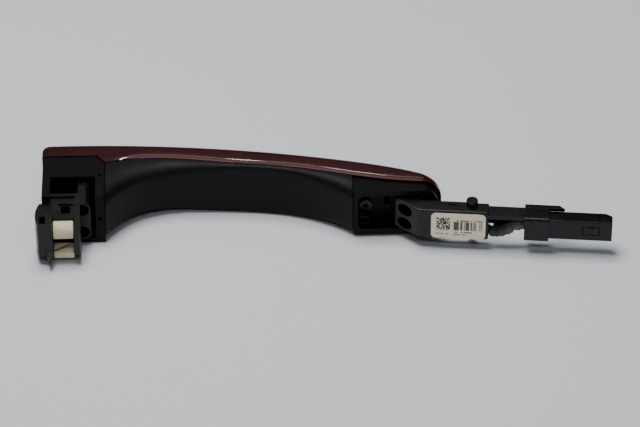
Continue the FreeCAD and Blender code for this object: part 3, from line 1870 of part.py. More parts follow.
def write_parts():
    """Checks every object and writes each sub-part to its own file."""
    doc.recompute()
    failed = [item.Name for item in doc.Objects if set(item.State) & {"Invalid", "Error"}]
    if failed:
        raise RuntimeError(f"these objects failed: {failed}")
    os.makedirs("parts", exist_ok=True)
    for node in NODES:
        shape = node.Shape
        if shape.isNull() or not shape.isValid() or not shape.Solids:
            raise RuntimeError(f"{node.Label} has no valid solid")
        shape.exportStep(os.path.join("parts", f"{node.Label}.step"))
        print(f"{node.Label}: {len(shape.Solids)} solid(s), {shape.Volume:.0f} mm3")


main()
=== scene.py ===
"""Looks of a car door handle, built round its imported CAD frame. Metres; shapes are written in millimetres."""

import logging
import math
from collections.abc import Callable, Iterator, Sequence
from contextlib import contextmanager
from dataclasses import dataclass, field
from enum import Enum

import bmesh
import bpy
import numpy as np
from mathutils import Matrix, Vector


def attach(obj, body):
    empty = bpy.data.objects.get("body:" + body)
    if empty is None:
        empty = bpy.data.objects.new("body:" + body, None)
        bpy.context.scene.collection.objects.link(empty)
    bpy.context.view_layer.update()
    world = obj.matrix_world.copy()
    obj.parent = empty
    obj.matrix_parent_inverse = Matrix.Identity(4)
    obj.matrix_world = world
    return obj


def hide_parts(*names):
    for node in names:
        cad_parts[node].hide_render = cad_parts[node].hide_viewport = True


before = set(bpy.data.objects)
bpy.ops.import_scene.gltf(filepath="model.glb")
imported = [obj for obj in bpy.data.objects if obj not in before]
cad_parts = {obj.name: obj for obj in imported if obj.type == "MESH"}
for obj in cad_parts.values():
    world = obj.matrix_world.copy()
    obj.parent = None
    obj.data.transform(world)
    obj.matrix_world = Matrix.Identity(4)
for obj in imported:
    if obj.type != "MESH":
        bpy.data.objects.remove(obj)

MM = 0.001
MERGE = 1e-7  # metres within which points of one skin are the same point
CAD_MERGE = 2e-6  # the same for the mesh of a CAD node
FLAT_ANGLE = math.radians(0.6)  # faces of a CAD node that lean by less are one flat face
EDGE_ANGLE = math.radians(32)  # edges of a CAD node that are sharper get rounded
MIX_SHARE, MIX_BASE, MIX_OVER, MIXED = 0, 6, 7, 2  # sockets of a Mix node set to colour
CHANCE = 3  # the yes-or-no output of a Random Value node

Tree = bpy.types.NodeTree
Socket = bpy.types.NodeSocket
Thing = bpy.types.Object
Mesh = bpy.types.Mesh
Pair = tuple[float, float]
Triple = tuple[float, float, float]

log = logging.getLogger("door_handle")


# Colour and nodes


def linear(code: str) -> tuple[float, float, float, float]:
    """Turns an sRGB hex colour, such as #a0b1c2, to linear red, green, blue and alpha."""
    digits = code.lstrip("#")
    channels = [int(digits[i : i + 2], 16) / 255 for i in (0, 2, 4)]
    r, g, b = (c / 12.92 if c <= 0.04045 else ((c + 0.055) / 1.055) ** 2.4 for c in channels)
    return (r, g, b, 1.0)


def put(
    tree: Tree,
    kind: str,
    settings: dict[str | int, object] | None = None,
    links: dict[str | int, Socket] | None = None,
    **attributes: object,
) -> bpy.types.Node:
    """Adds a node with its settings and links.

    Args:
        tree: the tree that gets the node.
        kind: the node's type name.
        settings: values of its input sockets, by name or index.
        links: outputs of other nodes to join to its inputs, by name or index.
        attributes: properties of the node itself, set first.

    Returns:
        The new node.
    """
    node = tree.nodes.new(kind)
    for name, value in attributes.items():
        setattr(node, name, value)
    for name, value in (settings or {}).items():
        node.inputs[name].default_value = value
    for name, socket in (links or {}).items():
        tree.links.new(socket, node.inputs[name])
    return node


def calc(tree: Tree, operation: str, a: Socket, b: Socket | float) -> Socket:
    """Works out one step of arithmetic on a socket and another socket or a number."""
    if isinstance(b, Socket):
        return put(tree, "ShaderNodeMath", None, {0: a, 1: b}, operation=operation).outputs[0]
    return put(tree, "ShaderNodeMath", {1: b}, {0: a}, operation=operation).outputs[0]


def per_mm(size: float) -> float:
    """Noise scale that gives features of a size in millimetres on Object coordinates in metres."""
    return 1.0 / (size * MM)


def noise(tree: Tree, place: Socket, size: float, detail: float) -> Socket:
    """Noise with features of a size in millimetres."""
    settings = {"Scale": per_mm(size), "Detail": detail}
    return put(tree, "ShaderNodeTexNoise", settings, {"Vector": place}).outputs["Fac"]


def ranged(tree: Tree, value: Socket, before: Pair, after: Pair = (0.0, 1.0)) -> Socket:
    """Maps a value from one range to another and holds it there."""
    ends = {"From Min": before[0], "From Max": before[1], "To Min": after[0], "To Max": after[1]}
    return put(tree, "ShaderNodeMapRange", ends, {"Value": value}).outputs[0]


def mixed(tree: Tree, share: Socket, base: Socket, over: str) -> Socket:
    """Lays a colour, given in hex, over a base by a share."""
    links = {MIX_SHARE: share, MIX_BASE: base}
    return put(tree, "ShaderNodeMix", {MIX_OVER: linear(over)}, links, data_type="RGBA").outputs[MIXED]


# Finishes


@dataclass(frozen=True)
class Ground:
    """What a finish is drawn from: its tree, Object coordinates, slow noise and fine noise."""

    tree: Tree
    place: Socket
    mottle: Socket
    grain: Socket


@dataclass(frozen=True)
class Finish:
    """What every surface has: a colour, a gloss and a grain.

    The grain is the moulding texture or tool marks: its size and its depth in millimetres.
    """

    name: str
    colour: str
    second_colour: str
    roughness: float
    roughness_spread: float = 0.06
    metallic: float = 0.0
    ior: float = 1.5
    specular: float = 0.5  # lower on a textured moulding, whose pits hold light back
    coat: float = 0.0
    coat_roughness: float = 0.03
    grain: Pair = (0.6, 0.01)
    mottle_size: float = 14.0
    stretch: Triple = (1.0, 1.0, 1.0)
    sheen: float = 0.0

    def material(self) -> bpy.types.Material:
        """Builds a node material that reads Object coordinates."""
        made = bpy.data.materials.new(self.name)
        made.use_nodes = True
        tree = made.node_tree
        tree.nodes.clear()
        place = put(tree, "ShaderNodeTexCoord").outputs["Object"]
        mapped = put(tree, "ShaderNodeMapping", {"Scale": self.stretch}, {"Vector": place}).outputs[0]
        mottle = noise(tree, mapped, self.mottle_size, 3.0)
        ground = Ground(tree, place, mottle, noise(tree, mapped, self.grain[0], 2.0))
        gloss = (self.roughness - self.roughness_spread, self.roughness + self.roughness_spread)
        depth = {"Strength": 1.0, "Distance": self.grain[1] * MM}
        shader = put(
            tree,
            "ShaderNodeBsdfPrincipled",
            {
                "Metallic": self.metallic,
                "IOR": self.ior,
                "Specular IOR Level": self.specular,
                "Coat Weight": self.coat,
                "Coat Roughness": self.coat_roughness,
                "Sheen Weight": self.sheen,
            },
            {
                "Base Color": self.tint(ground),
                "Roughness": ranged(tree, mottle, (0.3, 0.7), gloss),
                "Normal": put(tree, "ShaderNodeBump", depth, {"Height": self.relief(ground)}).outputs[0],
            },
        )
        put(tree, "ShaderNodeOutputMaterial", None, {"Surface": shader.outputs[0]})
        return made

    def tint(self, ground: Ground) -> Socket:
        """Mixes the finish's two colours by the slow noise and gives the colour socket."""
        ramp = put(ground.tree, "ShaderNodeValToRGB", None, {"Fac": ground.mottle})
        stops = ((0.35, self.colour), (0.65, self.second_colour))
        for element, (position, code) in zip(ramp.color_ramp.elements, stops):
            element.position = position
            element.color = linear(code)
        return ramp.outputs["Color"]

    def relief(self, ground: Ground) -> Socket:
        """The height that the bump reads: the plain grain."""
        return ground.grain


@dataclass(frozen=True)
class MetallicPaint(Finish):
    """Base coat with aluminium flake under a clear coat, which gives sparkle and a sharp upper gloss."""

    flake_size: float = 0.5  # far coarser than real flake, so that it shows
    flake_colour: str = "#98140c"
    flake_from: float = 0.72  # cells above this are flakes
    flake_share: float = 0.22

    def tint(self, ground: Ground) -> Socket:
        """Adds bright flakes to the base coat and gives the colour socket."""
        tree = ground.tree
        base = super().tint(ground)
        size = {"Scale": per_mm(self.flake_size)}
        cells = put(tree, "ShaderNodeTexVoronoi", size, {"Vector": ground.place}).outputs["Color"]
        shade = put(tree, "ShaderNodeSeparateColor", None, {"Color": cells}).outputs[0]
        share = ranged(tree, shade, (self.flake_from, 1.0), (0.0, self.flake_share))
        return mixed(tree, share, base, self.flake_colour)


@dataclass(frozen=True)
class Woven(Finish):
    """A plain weave of two crossed sets of threads, which shows under tape or solder mask."""

    thread: float = 0.9  # the drawn threads repeat at about twice this

    def relief(self, ground: Ground) -> Socket:
        """Crosses two sets of threads and gives the height socket."""
        tree = ground.tree
        settings = {"Scale": per_mm(self.thread) / 6.283, "Distortion": 0.6}
        place = {"Vector": ground.place}
        sets = [
            put(tree, "ShaderNodeTexWave", settings, place, bands_direction=axis).outputs["Fac"]
            for axis in ("DIAGONAL", "Z")
        ]
        return calc(tree, "ADD", calc(tree, "MAXIMUM", *sets), ground.grain)


@dataclass(frozen=True)
class ClothTape(Woven):
    """Cotton harness tape with a weave drawn coarsely so that it shows, painted darker by the arm as shade
    under the arm's tongue and paler towards the connector.
    """

    lit_end_colour: str = "#65655a"
    lit_end_range: Pair = (13.0, 28.0)  # where along X the painted shade starts to fade and where it has faded

    def tint(self, ground: Ground) -> Socket:
        """Fades the tape's painted shade to its lighter colour along X and gives the colour socket."""
        tree = ground.tree
        base = super().tint(ground)
        along = put(tree, "ShaderNodeSeparateXYZ", None, {"Vector": ground.place}).outputs["X"]
        ends = (self.lit_end_range[0] * MM, self.lit_end_range[1] * MM)
        return mixed(tree, ranged(tree, along, ends), base, self.lit_end_colour)


class Dress(Enum):
    """The finishes of this handle."""

    # fmt: off
    # Dark red metallic over a moulded cover: deep, with a sharp clear coat
    PAINT = MetallicPaint(
        "red_metallic_paint", "#2c0101", "#360202", 0.34, 0.03, metallic=0.45, coat=1.0, coat_roughness=0.04,
        grain=(1.6, 0.002), mottle_size=40.0,
    )
    # Bare lip of the cover, where overspray ends: dull and brownish
    LIP = Finish("cover_lip_primer", "#4f3e29", "#43351f", 0.5, specular=0.3, grain=(0.5, 0.01))
    # Satin ABS of the grip, fine spark-eroded grain
    GRIP = Finish("satin_grip_plastic", "#030303", "#050505", 0.58, 0.04, specular=0.2, grain=(0.5, 0.006))
    # Glass-filled nylon of the frame: drier, with flow marks along X
    NYLON = Finish(
        "glass_filled_nylon", "#020202", "#050504", 0.5, 0.05, specular=0.15,
        grain=(0.7, 0.01), mottle_size=6.0, stretch=(0.5, 1.0, 1.0),
    )
    # Nylon of the leg and arm, painted a little greyer as light on its upper faces, and shinier
    LEG = Finish(
        "greyed_black_nylon_painted_light", "#070706", "#0d0d0a", 0.36, 0.06, specular=0.36,
        grain=(0.6, 0.01), mottle_size=5.0,
    )
    # PBT of the connector: smooth, glossy at its corners
    CONNECTOR = Finish("connector_pbt", "#050505", "#080808", 0.26, 0.05, specular=0.34, grain=(0.8, 0.003))
    # White acetal: waxy, slightly warm, marked by running
    ACETAL = Finish(
        "waxy_acetal", "#dfd6b2", "#d3c99f", 0.38, 0.06, ior=1.48, grain=(0.9, 0.006),
        mottle_size=4.0, stretch=(0.4, 1.0, 1.0),
    )
    # Turned pins: grey, with fine lines round them
    STEEL = Finish(
        "turned_steel", "#8f8d88", "#77756f", 0.3, 0.08, metallic=1.0, grain=(0.35, 0.004),
        mottle_size=3.0, stretch=(5.0, 1.0, 1.0),
    )
    # Spring steel, oiled and brownish
    SPRING = Finish("oiled_spring_steel", "#6e6456", "#5c5347", 0.4, 0.06, metallic=1.0, grain=(0.3, 0.003))
    # Steel screws under black zinc: dark, satin, faintly mottled
    BLACK_ZINC = Finish(
        "black_zinc_steel", "#2a2a2b", "#353536", 0.38, 0.06, metallic=1.0, grain=(0.4, 0.006),
        mottle_size=2.0,
    )
    # Coated paper of the sticker
    PAPER = Finish("sticker_paper", "#fff5d8", "#fbf0d0", 0.45, 0.05, grain=(0.3, 0.002))
    # Thermal print on the sticker
    PRINT = Finish("sticker_print", "#242324", "#302f30", 0.6, grain=(0.3, 0.002))
    FINE_PRINT = Finish("sticker_fine_print", "#4d3f3a", "#5a4a44", 0.6, grain=(0.3, 0.002))
    BARS = Finish("sticker_bar_print", "#5c4e49", "#6a5a54", 0.6, grain=(0.3, 0.002))
    # Grey-green cotton tape, painted darker near the arm as shade under its tongue
    TAPE = ClothTape(
        "cloth_tape", "#23261f", "#383b30", 0.8, 0.05, grain=(0.5, 0.1), mottle_size=5.0,
        sheen=0.3,
    )
    # PVC jacket: smooth, a little dusty
    JACKET = Finish("pvc_jacket", "#111111", "#191919", 0.5, grain=(0.6, 0.01))
    # Silicone of the wire seal: soft gloss
    SEAL = Finish("silicone_seal", "#6a2418", "#7a2c1e", 0.45, grain=(0.8, 0.01))
    # Solder mask over glass cloth: the weave shows through
    BOARD = Woven("solder_mask", "#0d3b1d", "#124824", 0.3, 0.04, grain=(0.8, 0.008), thread=1.2)
    # Moulded epoxy of the chips: matt
    CHIPS = Finish("moulded_epoxy", "#1a1a1b", "#202021", 0.55, grain=(0.4, 0.02))
    # Enamelled copper wire: bright and orange, a little uneven
    COPPER = Finish("enamelled_copper", "#a8582c", "#8c4421", 0.3, 0.05, metallic=1.0, grain=(0.5, 0.01))
    # Sintered ferrite: dark grey, gritty
    FERRITE = Finish("sintered_ferrite", "#26262a", "#303034", 0.5, grain=(0.3, 0.015))
    # Closed-cell foam: matt, pitted
    FOAM = Finish("closed_cell_foam", "#2c2c2e", "#363638", 0.9, grain=(0.9, 0.12))
    # Tinned brass of the terminals: pale and bright
    BRASS = Finish("tinned_brass", "#c9b06a", "#b59a55", 0.25, metallic=1.0, grain=(0.4, 0.003))
    # Coarse paper of the backdrop
    BACKDROP = Finish("pale_backdrop", "#d9dde2", "#dcdfe4", 0.85, grain=(2.0, 0.01), mottle_size=400.0)
    # fmt: on

    def made(self) -> bpy.types.Material:
        """The finish's material, built once."""
        return bpy.data.materials.get(self.value.name) or self.value.material()


# Mesh making


def mesh_object(name: str, mesh: Mesh, *finishes: Dress) -> Thing:
    """Puts a mesh in the scene, at the origin, with finishes in the order of its material indices."""
    mesh.materials.clear()
    for finish in finishes:
        mesh.materials.append(finish.made())
    thing = bpy.data.objects.new(name, mesh)
    bpy.context.scene.collection.objects.link(thing)
    return thing


def applied(thing: Thing) -> Thing:
    """Turns an object's live modifiers into plain mesh, and gives the same object back."""
    graph = bpy.context.evaluated_depsgraph_get()
    graph.update()
    mesh = bpy.data.meshes.new_from_object(thing.evaluated_get(graph))
    thing.modifiers.clear()
    thing.data = mesh
    return thing


def smoothed(mesh: Mesh, angle: float = 30.0) -> None:
    """Shades a mesh smooth, apart from edges sharper than an angle in degrees."""
    mesh.shade_smooth()
    mesh.set_sharp_from_angle(angle=math.radians(angle))


def weighted(thing: Thing) -> Thing:
    """Leans a smooth piece's shading towards its large faces, which stay flat beside rounded edges."""
    shading = thing.modifiers.new("shading", "WEIGHTED_NORMAL")
    shading.mode = "FACE_AREA"
    shading.weight = 80
    shading.keep_sharp = True
    return applied(thing)


@contextmanager
def editing(mesh: Mesh) -> Iterator[bmesh.types.BMesh]:
    """Opens a mesh for changes and then writes them back."""
    bm = bmesh.new()
    bm.from_mesh(mesh)
    yield bm
    bm.to_mesh(mesh)
    bm.free()


def welded(bm: bmesh.types.BMesh) -> None:
    """Joins points that coincide and turns the faces outward."""
    bmesh.ops.remove_doubles(bm, verts=bm.verts, dist=MERGE)
    bmesh.ops.recalc_face_normals(bm, faces=bm.faces)


def lofted(rings: Sequence[Sequence[Vector]], closed: bool, caps: bool) -> Mesh:
    """Skins a row of rings to a mesh in metres, with outward normals.

    Args:
        rings: rings of points in millimetres, all of one count.
        closed: whether each ring joins its own end.
        caps: whether the first and last ring get a face.
    """
    mesh = bpy.data.meshes.new("loft")
    with editing(mesh) as bm:
        rows = [[bm.verts.new(p * MM) for p in ring] for ring in rings]
        count = len(rows[0])
        last = count if closed else count - 1
        for a, b in zip(rows, rows[1:]):
            for i in range(last):
                bm.faces.new((a[i], a[(i + 1) % count], b[(i + 1) % count], b[i]))
        if caps:
            bm.faces.new(list(reversed(rows[0])))
            bm.faces.new(rows[-1])
        welded(bm)
    return mesh


def mirrored(side: Sequence[Vector]) -> list[Vector]:
    """Joins half a section, which ends on the middle plane, to its mirror image in Z."""
    return [*side, *(Vector((p.x, p.y, -p.z)) for p in reversed(side[:-1]))]


def arc(start: float, sweep: float, count: int) -> list[Pair]:
    """Cosine and sine at both ends of an arc in degrees and at equal steps between."""
    turns = [math.radians(start + sweep * i / count) for i in range(count + 1)]
    return [(math.cos(turn), math.sin(turn)) for turn in turns]


def round_off(run: float) -> float:
    """How far a quarter circle of radius 1 has dropped at a share of its run, held from 0 to 1."""
    return 1 - math.sqrt(1 - min(max(run, 0.0), 1.0) ** 2)


def softened(node: str, width: float, finish: Dress, segments: int = 2) -> Thing:
    """Copies a CAD node's mesh and rounds its edges.

    Args:
        node: the CAD node.
        width: the width of the rounding in millimetres.
        finish: the copy's finish.
        segments: how many faces the rounding has.
    """
    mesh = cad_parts[node].data.copy()
    with editing(mesh) as bm:
        bmesh.ops.remove_doubles(bm, verts=bm.verts, dist=CAD_MERGE)
        bmesh.ops.dissolve_limit(bm, angle_limit=FLAT_ANGLE, verts=bm.verts, edges=bm.edges)
    thing = mesh_object(f"{node}_finished", mesh, finish)
    bevel = thing.modifiers.new("edge", "BEVEL")
    bevel.width = width * MM
    bevel.segments = segments
    bevel.limit_method = "ANGLE"
    bevel.angle_limit = EDGE_ANGLE
    bevel.use_clamp_overlap = True
    applied(thing)
    smoothed(thing.data, 40)
    return weighted(thing)


def distances(points: np.ndarray) -> np.ndarray:
    """How far along a row of points each of them lies."""
    return np.concatenate([[0.0], np.cumsum(np.linalg.norm(np.diff(points, axis=0), axis=1))])


def smooth_curve(
    points: Sequence[tuple[float, ...]],
    start: tuple[float, ...] | None = None,
    end: tuple[float, ...] | None = None,
    count: int = 400,
) -> np.ndarray:
    """Passes one smooth curve through points, as the CAD's own curve does.

    Args:
        points: points in millimetres.
        start: direction at the start, or None for the one that the first points suggest.
        end: direction at the end, or None.
        count: how many points to return.

    Returns:
        Points on the curve, one row each.
    """
    p = np.array(points, float)
    t = distances(p)

    def lean(four: slice, at: float) -> np.ndarray:
        """Slope at a place of the cubic through four points."""
        cubics = (np.polynomial.Polynomial.fit(t[four], column[four], 3) for column in p.T)
        return np.array([cubic.deriv()(at) for cubic in cubics])

    first = lean(slice(4), t[0])
    final = lean(slice(-4, None), t[-1])
    if start is not None:
        first = np.array(start) / np.linalg.norm(start) * np.linalg.norm(first)
    if end is not None:
        final = np.array(end) / np.linalg.norm(end) * np.linalg.norm(final)
    h = np.diff(t)
    n = len(p)
    matrix = np.zeros((n, n))
    right = np.zeros(p.shape)
    matrix[0, 0] = matrix[-1, -1] = 1.0
    right[0], right[-1] = first, final
    for i in range(1, n - 1):
        matrix[i, i - 1] = 1 / h[i - 1]
        matrix[i, i] = 2 / h[i - 1] + 2 / h[i]
        matrix[i, i + 1] = 1 / h[i]
        right[i] = 3 * ((p[i] - p[i - 1]) / h[i - 1] ** 2 + (p[i + 1] - p[i]) / h[i] ** 2)
    slopes = np.linalg.solve(matrix, right)
    found = []
    for at in np.linspace(t[0], t[-1], count):
        i = min(int(np.searchsorted(t, at, side="right")) - 1, n - 2)
        u = (at - t[i]) / h[i]
        found.append(
            (2 * u**3 - 3 * u**2 + 1) * p[i]
            + (u**3 - 2 * u**2 + u) * h[i] * slopes[i]
            + (-2 * u**3 + 3 * u**2) * p[i + 1]
            + (u**3 - u**2) * h[i] * slopes[i + 1]
        )
    return np.array(found)


def rounded_route(points: Sequence[Vector], share: float = 0.45, steps: int = 14) -> list[Vector]:
    """Joins the straight runs between points with tangent arcs, as the CAD's own path does.

    Args:
        points: corners of the route.
        share: how much of the shorter run each arc takes.
        steps: points along each arc and each run.

    Returns:
        Points along the route.
    """
    found = [points[0]]
    for before, corner, after in zip(points, points[1:], points[2:]):
        back, ahead = (before - corner).normalized(), (after - corner).normalized()
        half = back.angle(ahead) / 2
        run = share * min((before - corner).length, (after - corner).length)
        radius = run * math.tan(half)
        middle = (back + ahead).normalized()
        centre = corner + middle * (radius / math.sin(half))
        start, end = corner + back * run - centre, corner + ahead * run - centre
        from_point = found[-1]
        found.extend(from_point.lerp(centre + start, k / steps) for k in range(1, steps))
        turn = start.angle(end)
        for k in range(steps + 1):
            a, b = math.sin(turn * (1 - k / steps)), math.sin(turn * k / steps)
            found.append(centre + (start * a + end * b) / math.sin(turn))
    last = found[-1]
    found.extend(last.lerp(points[-1], k / steps) for k in range(1, steps + 1))
    return found


def height_of(curve: np.ndarray) -> Callable[[float], float]:
    """Turns a curve's points to a function that gives its height at a station."""
    order = np.argsort(curve[:, 0])
    xs, ys = curve[order, 0], curve[order, 1]
    return lambda x: float(np.interp(x, xs, ys))


@dataclass
class SubAssembly:
    """A group of pieces that rides on one body."""

    body: str = "handle"

    def keep(self, thing: Thing, *nodes: str, slot: str = "", body: str = "") -> None:
        """Rides a piece on its body and swaps it for the CAD nodes that it stands for.

        Args:
            thing: the piece.
            nodes: the CAD nodes that it replaces.
            slot: not used.
            body: its body, where it isn't the group's own.
        """
        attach(thing, body or self.body)
        if nodes:
            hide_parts(*nodes)
        log.info("%s: %d faces", thing.name, len(thing.data.polygons))

    def soften(
        self, node: str, width: float, finish: Dress, slot: str, segments: int = 2, body: str = ""
    ) -> None:
        """Keeps a softened copy in the place of a CAD node, by the arguments of softened and keep."""
        self.keep(softened(node, width, finish, segments), node, slot=slot, body=body)


@dataclass
class StrapLines:
    """The strap's own lines in the frame, in millimetres."""

    rear: float = -236.0
    arch_start: float = -201.0
    arch_end: float = -65.0
    nose: float = -16.0
    door: float = 7.0
    half_width: float = 16.5
    notch_run: float = 4.5
    lip_rear: float = 36.6
    bare_from: float = -70.0

    def __post_init__(self) -> None:
        """Passes the curves through the strap's main points, with heights over the door's plane."""
        start, end, nose = self.arch_start, self.arch_end, self.nose
        middle = (start + end) / 2
        crown = (
            (self.rear, 50.8), (start + 15, 49.8), (middle, 44.4),
            (end, 31.0), (nose - 12, 18.8), (nose, 12.5),
        )  # fmt: skip
        seam = (
            (nose, 6.5), (end, 14.3), (end - 28.5, 22.0), (middle, 28.3), (start + 20, 33.9), (start, 29.9),
        )  # fmt: skip
        arch = ((start, 0.0), (start + 20, 19.6), (middle - 6, 24.8), (end - 28.5, 17.5), (end, 0.0))
        raised = [[(x, self.door + y) for x, y in points] for points in (crown, seam, arch)]
        self.crown = height_of(smooth_curve(raised[0]))
        self.seam = height_of(smooth_curve(raised[1]))
        self.arch = smooth_curve(raised[2], (1, 1.5), (1, -0.85))

    def lip(self, x: float) -> float:
        """Height of the cover's lip at a station, with the step at the end of the rear foot."""
        if x >= self.arch_start:
            return self.seam(x)
        high = self.door + self.lip_rear
        notch = self.arch_start - self.notch_run
        if x <= notch:
            return high
        return high + (self.seam(self.arch_start) - high) * (x - notch) / self.notch_run


@dataclass
class Strap(SubAssembly):
    """The painted cover, the grip liner and the frame's two feet."""

    lines: StrapLines = field(default_factory=StrapLines)
    corner: float = 6.0
    crown_fall: float = 0.9  # how much lower the crown is at its edges than along its middle
    least_room: float = 0.4  # least height from the lip to the crown
    side_swell: float = 0.62  # how far the side stands in at the lip
    swell_run: float = 18.0  # length over which the swell grows from the end of the rear foot
    roll: float = 4.2  # height of the rolled part above the lip
    nose_radius: float = 11.5
    nose_round: float = 5.0
    nose_drop: float = 3.6
    rear_round: float = 4.5
    rear_drop: float = 3.6
    rear_narrowing: float = 1.2
    wall: float = 2.1
    band: float = 2.2  # height of the lip's own rows of faces
    band_rows: int = 3
    grip_step: float = 0.6
    grip_corner: float = 7.0
    grip_gap: float = 0.45  # from the liner's edge to the seam
    grip_wall: float = 1.9
    grip_middle: Triple = (-0.133, 0.03, 0.0)  # a place in the trough, in metres
    button_x: float = -210.0
    button_rise: float = 0.7

    def at_rear(self, x: float) -> float:
        """How far into the rear edge's rounding a station lies: 1 at the end, 0 or less before it."""
        return 1.0 - (x - self.lines.rear) / self.rear_round

    def half_width_at(self, x: float) -> float:
        """Half width of the cover at a station, with its round front."""
        run = (x - (self.lines.nose - self.nose_radius)) / self.nose_radius
        return self.lines.half_width - self.nose_radius * round_off(run)

    def top_at(self, x: float) -> float:
        """Height of the crown at a station, rounded down at the nose and at the rear edge."""
        front = (x - (self.lines.nose - self.nose_round)) / self.nose_round
        drop = self.nose_drop * round_off(front) + self.rear_drop * round_off(self.at_rear(x))
        return self.lines.crown(x) - drop

    def section(self, x: float, lip: float, inset: float = 0.0) -> list[Vector]:
        """One cross-section of the cover, as points from lip over the crown to lip.

        Args:
            x: station along the strap.
            lip: height of the lip.
            inset: how far inside the outer face it lies.
        """
        half = self.half_width_at(x) - inset - self.rear_narrowing * round_off(self.at_rear(x))
        top = self.top_at(x) - inset
        room = max(top - lip, self.least_room)
        # Near the nose the section gets low, so its corner, fall and band take a share of what there is
        corner = min(max(self.corner - inset, 1.0), room * 0.62, half * 0.8)
        fall = min(self.crown_fall * (half / self.lines.half_width), room * 0.1)
        straight = room - corner - fall
        ease = min(max((x - self.lines.arch_start) / self.swell_run, 0.12), 1.0)
        swell = self.side_swell * min(room / 10, 1.0) * ease
        band = min(self.band, straight * 0.7)
        heights = [band * i / self.band_rows for i in range(self.band_rows + 1)]
        heights += [band + (straight - band) * (i / 6) ** 1.3 for i in range(1, 6)]
        side = [(half - swell * max(0.0, 1 - h / self.roll) ** 2, lip + h) for h in heights]
        flat = half - corner
        side += [(flat + corner * c, lip + straight + corner * s) for c, s in arc(0, 90, 11)[:-1]]
        for i in range(9):
            z = flat * (1 - i / 8)
            side.append((z, top - fall * (z / max(flat, 0.01)) ** 2))
        return mirrored([Vector((x, y, z)) for z, y in side])

    def stations(self) -> list[float]:
        """Stations of the cover's sections, close together at both ends and at the notch."""
        lines = self.lines
        notch = lines.arch_start - lines.notch_run
        marks = [
            *(lines.rear + self.rear_round * (1 - c) for c, _ in arc(0, 90, 7)),
            *np.linspace(lines.rear + self.rear_round + 2, notch - 1.5, 12),
            notch - 0.05,
            notch + 0.05,
            *np.linspace(notch + 1, lines.arch_start - 1, 3),
            lines.arch_start - 0.05,
            lines.arch_start + 0.05,
            *np.linspace(lines.arch_start + 2.5, lines.nose - self.nose_radius - 1, 62),
            *(lines.nose - self.nose_radius * (1 - s) for _, s in arc(0, 90, 18)),
        ]
        return sorted(set(round(float(mark), 4) for mark in marks))

    def skin(
        self, bm: bmesh.types.BMesh, rows: Sequence[Sequence[bmesh.types.BMVert]], inner: bool
    ) -> list[bmesh.types.BMFace]:
        """Skins one side of the cover's wall and closes its two ends.

        Args:
            bm: the mesh that gets the faces.
            rows: its points, a row for each station.
            inner: whether this is the inner side.

        Returns:
            The faces that have no paint: the whole inner side and the lip along the front.
        """
        bare = []
        last = len(rows[0]) - 1
        for a, b in zip(rows, rows[1:]):
            for i in range(last):
                face = bm.faces.new((a[i], a[i + 1], b[i + 1], b[i]))
                at_lip = min(i, last - 1 - i) < self.band_rows
                if inner or (at_lip and a[0].co.x > self.lines.bare_from * MM):
                    bare.append(face)
        for row in (rows[0], rows[-1]):
            for i in range((last + 1) // 2):
                ends = dict.fromkeys((row[i], row[i + 1], row[last - 1 - i], row[last - i]))
                if len(ends) > 2:
                    bm.faces.new(tuple(ends))
        return bare

    def cover(self) -> None:
        """Builds the painted cover from an outer and an inner skin, with a bare band round the front lip."""
        lines, wall = self.lines, self.wall
        outer, inner = [], []
        for x in self.stations():
            lip = lines.lip(x)
            outer.append(self.section(x, lip))
            held = min(max(x, lines.rear + wall), lines.nose - wall)
            inner.append(self.section(held, lip, inset=wall))
        mesh = bpy.data.meshes.new("cover")
        with editing(mesh) as bm:
            out, within = (
                [[bm.verts.new(p * MM) for p in ring] for ring in rings] for rings in (outer, inner)
            )
            bare = self.skin(bm, out, inner=False) + self.skin(bm, within, inner=True)
            for side in (0, -1):
                for k in range(len(out) - 1):
                    rim = (out[k], out[k + 1], within[k + 1], within[k])
                    bare.append(bm.faces.new([row[side] for row in rim]))
            for k in (0, -1):
                bare.append(bm.faces.new([out[k][0], out[k][-1], within[k][-1], within[k][0]]))
            for face in bare:
                face.material_index = 1
            welded(bm)
        cover = mesh_object("cover_painted", mesh, Dress.PAINT, Dress.LIP)
        cutter = self.button_cutter()
        hole = cover.modifiers.new("button_hole", "BOOLEAN")
        hole.operation = "DIFFERENCE"
        hole.solver = "EXACT"
        hole.object = cutter
        applied(cover)
        bpy.data.objects.remove(cutter)
        smoothed(cover.data, 38)
        self.keep(cover, "painted_cover", slot="paint")

    def button_cutter(self) -> Thing:
        """A slot with round ends that opens the cover for the request button."""
        mesh = self.slot_solid(((40.0, 15.6, 9.6), (70.0, 15.6, 9.6)))
        return mesh_object("button_cutter", mesh)

    def slot_solid(self, levels: Sequence[Triple]) -> Mesh:
        """A solid with round ends on the button's axis, by the height, length and width of each level."""
        rings = []
        for y, length, width in levels:
            half, radius = (length - width) / 2, width / 2
            rings.append(
                [
                    Vector((self.button_x + side * (half + radius * c), y, side * radius * s))
                    for side in (1, -1)
                    for c, s in arc(-90, 180, 12)
                ]
            )
        return lofted(rings, closed=True, caps=True)

    def button(self) -> None:
        """Builds the request button with a dished face, and its flange."""
        face = self.lines.crown(self.button_x) + self.button_rise
        levels = (
            (-5.0, 15.0, 9.0), (-0.9, 15.0, 9.0), (-0.3, 14.7, 8.7), (0.0, 14.0, 8.0), (-0.12, 12.4, 6.4),
        )  # fmt: skip
        mesh = self.slot_solid([(face + y, length, width) for y, length, width in levels])
        smoothed(mesh, 50)
        thing = mesh_object("button_face", mesh, Dress.GRIP)
        self.keep(thing, "request_button", slot="satin_black", body="button")

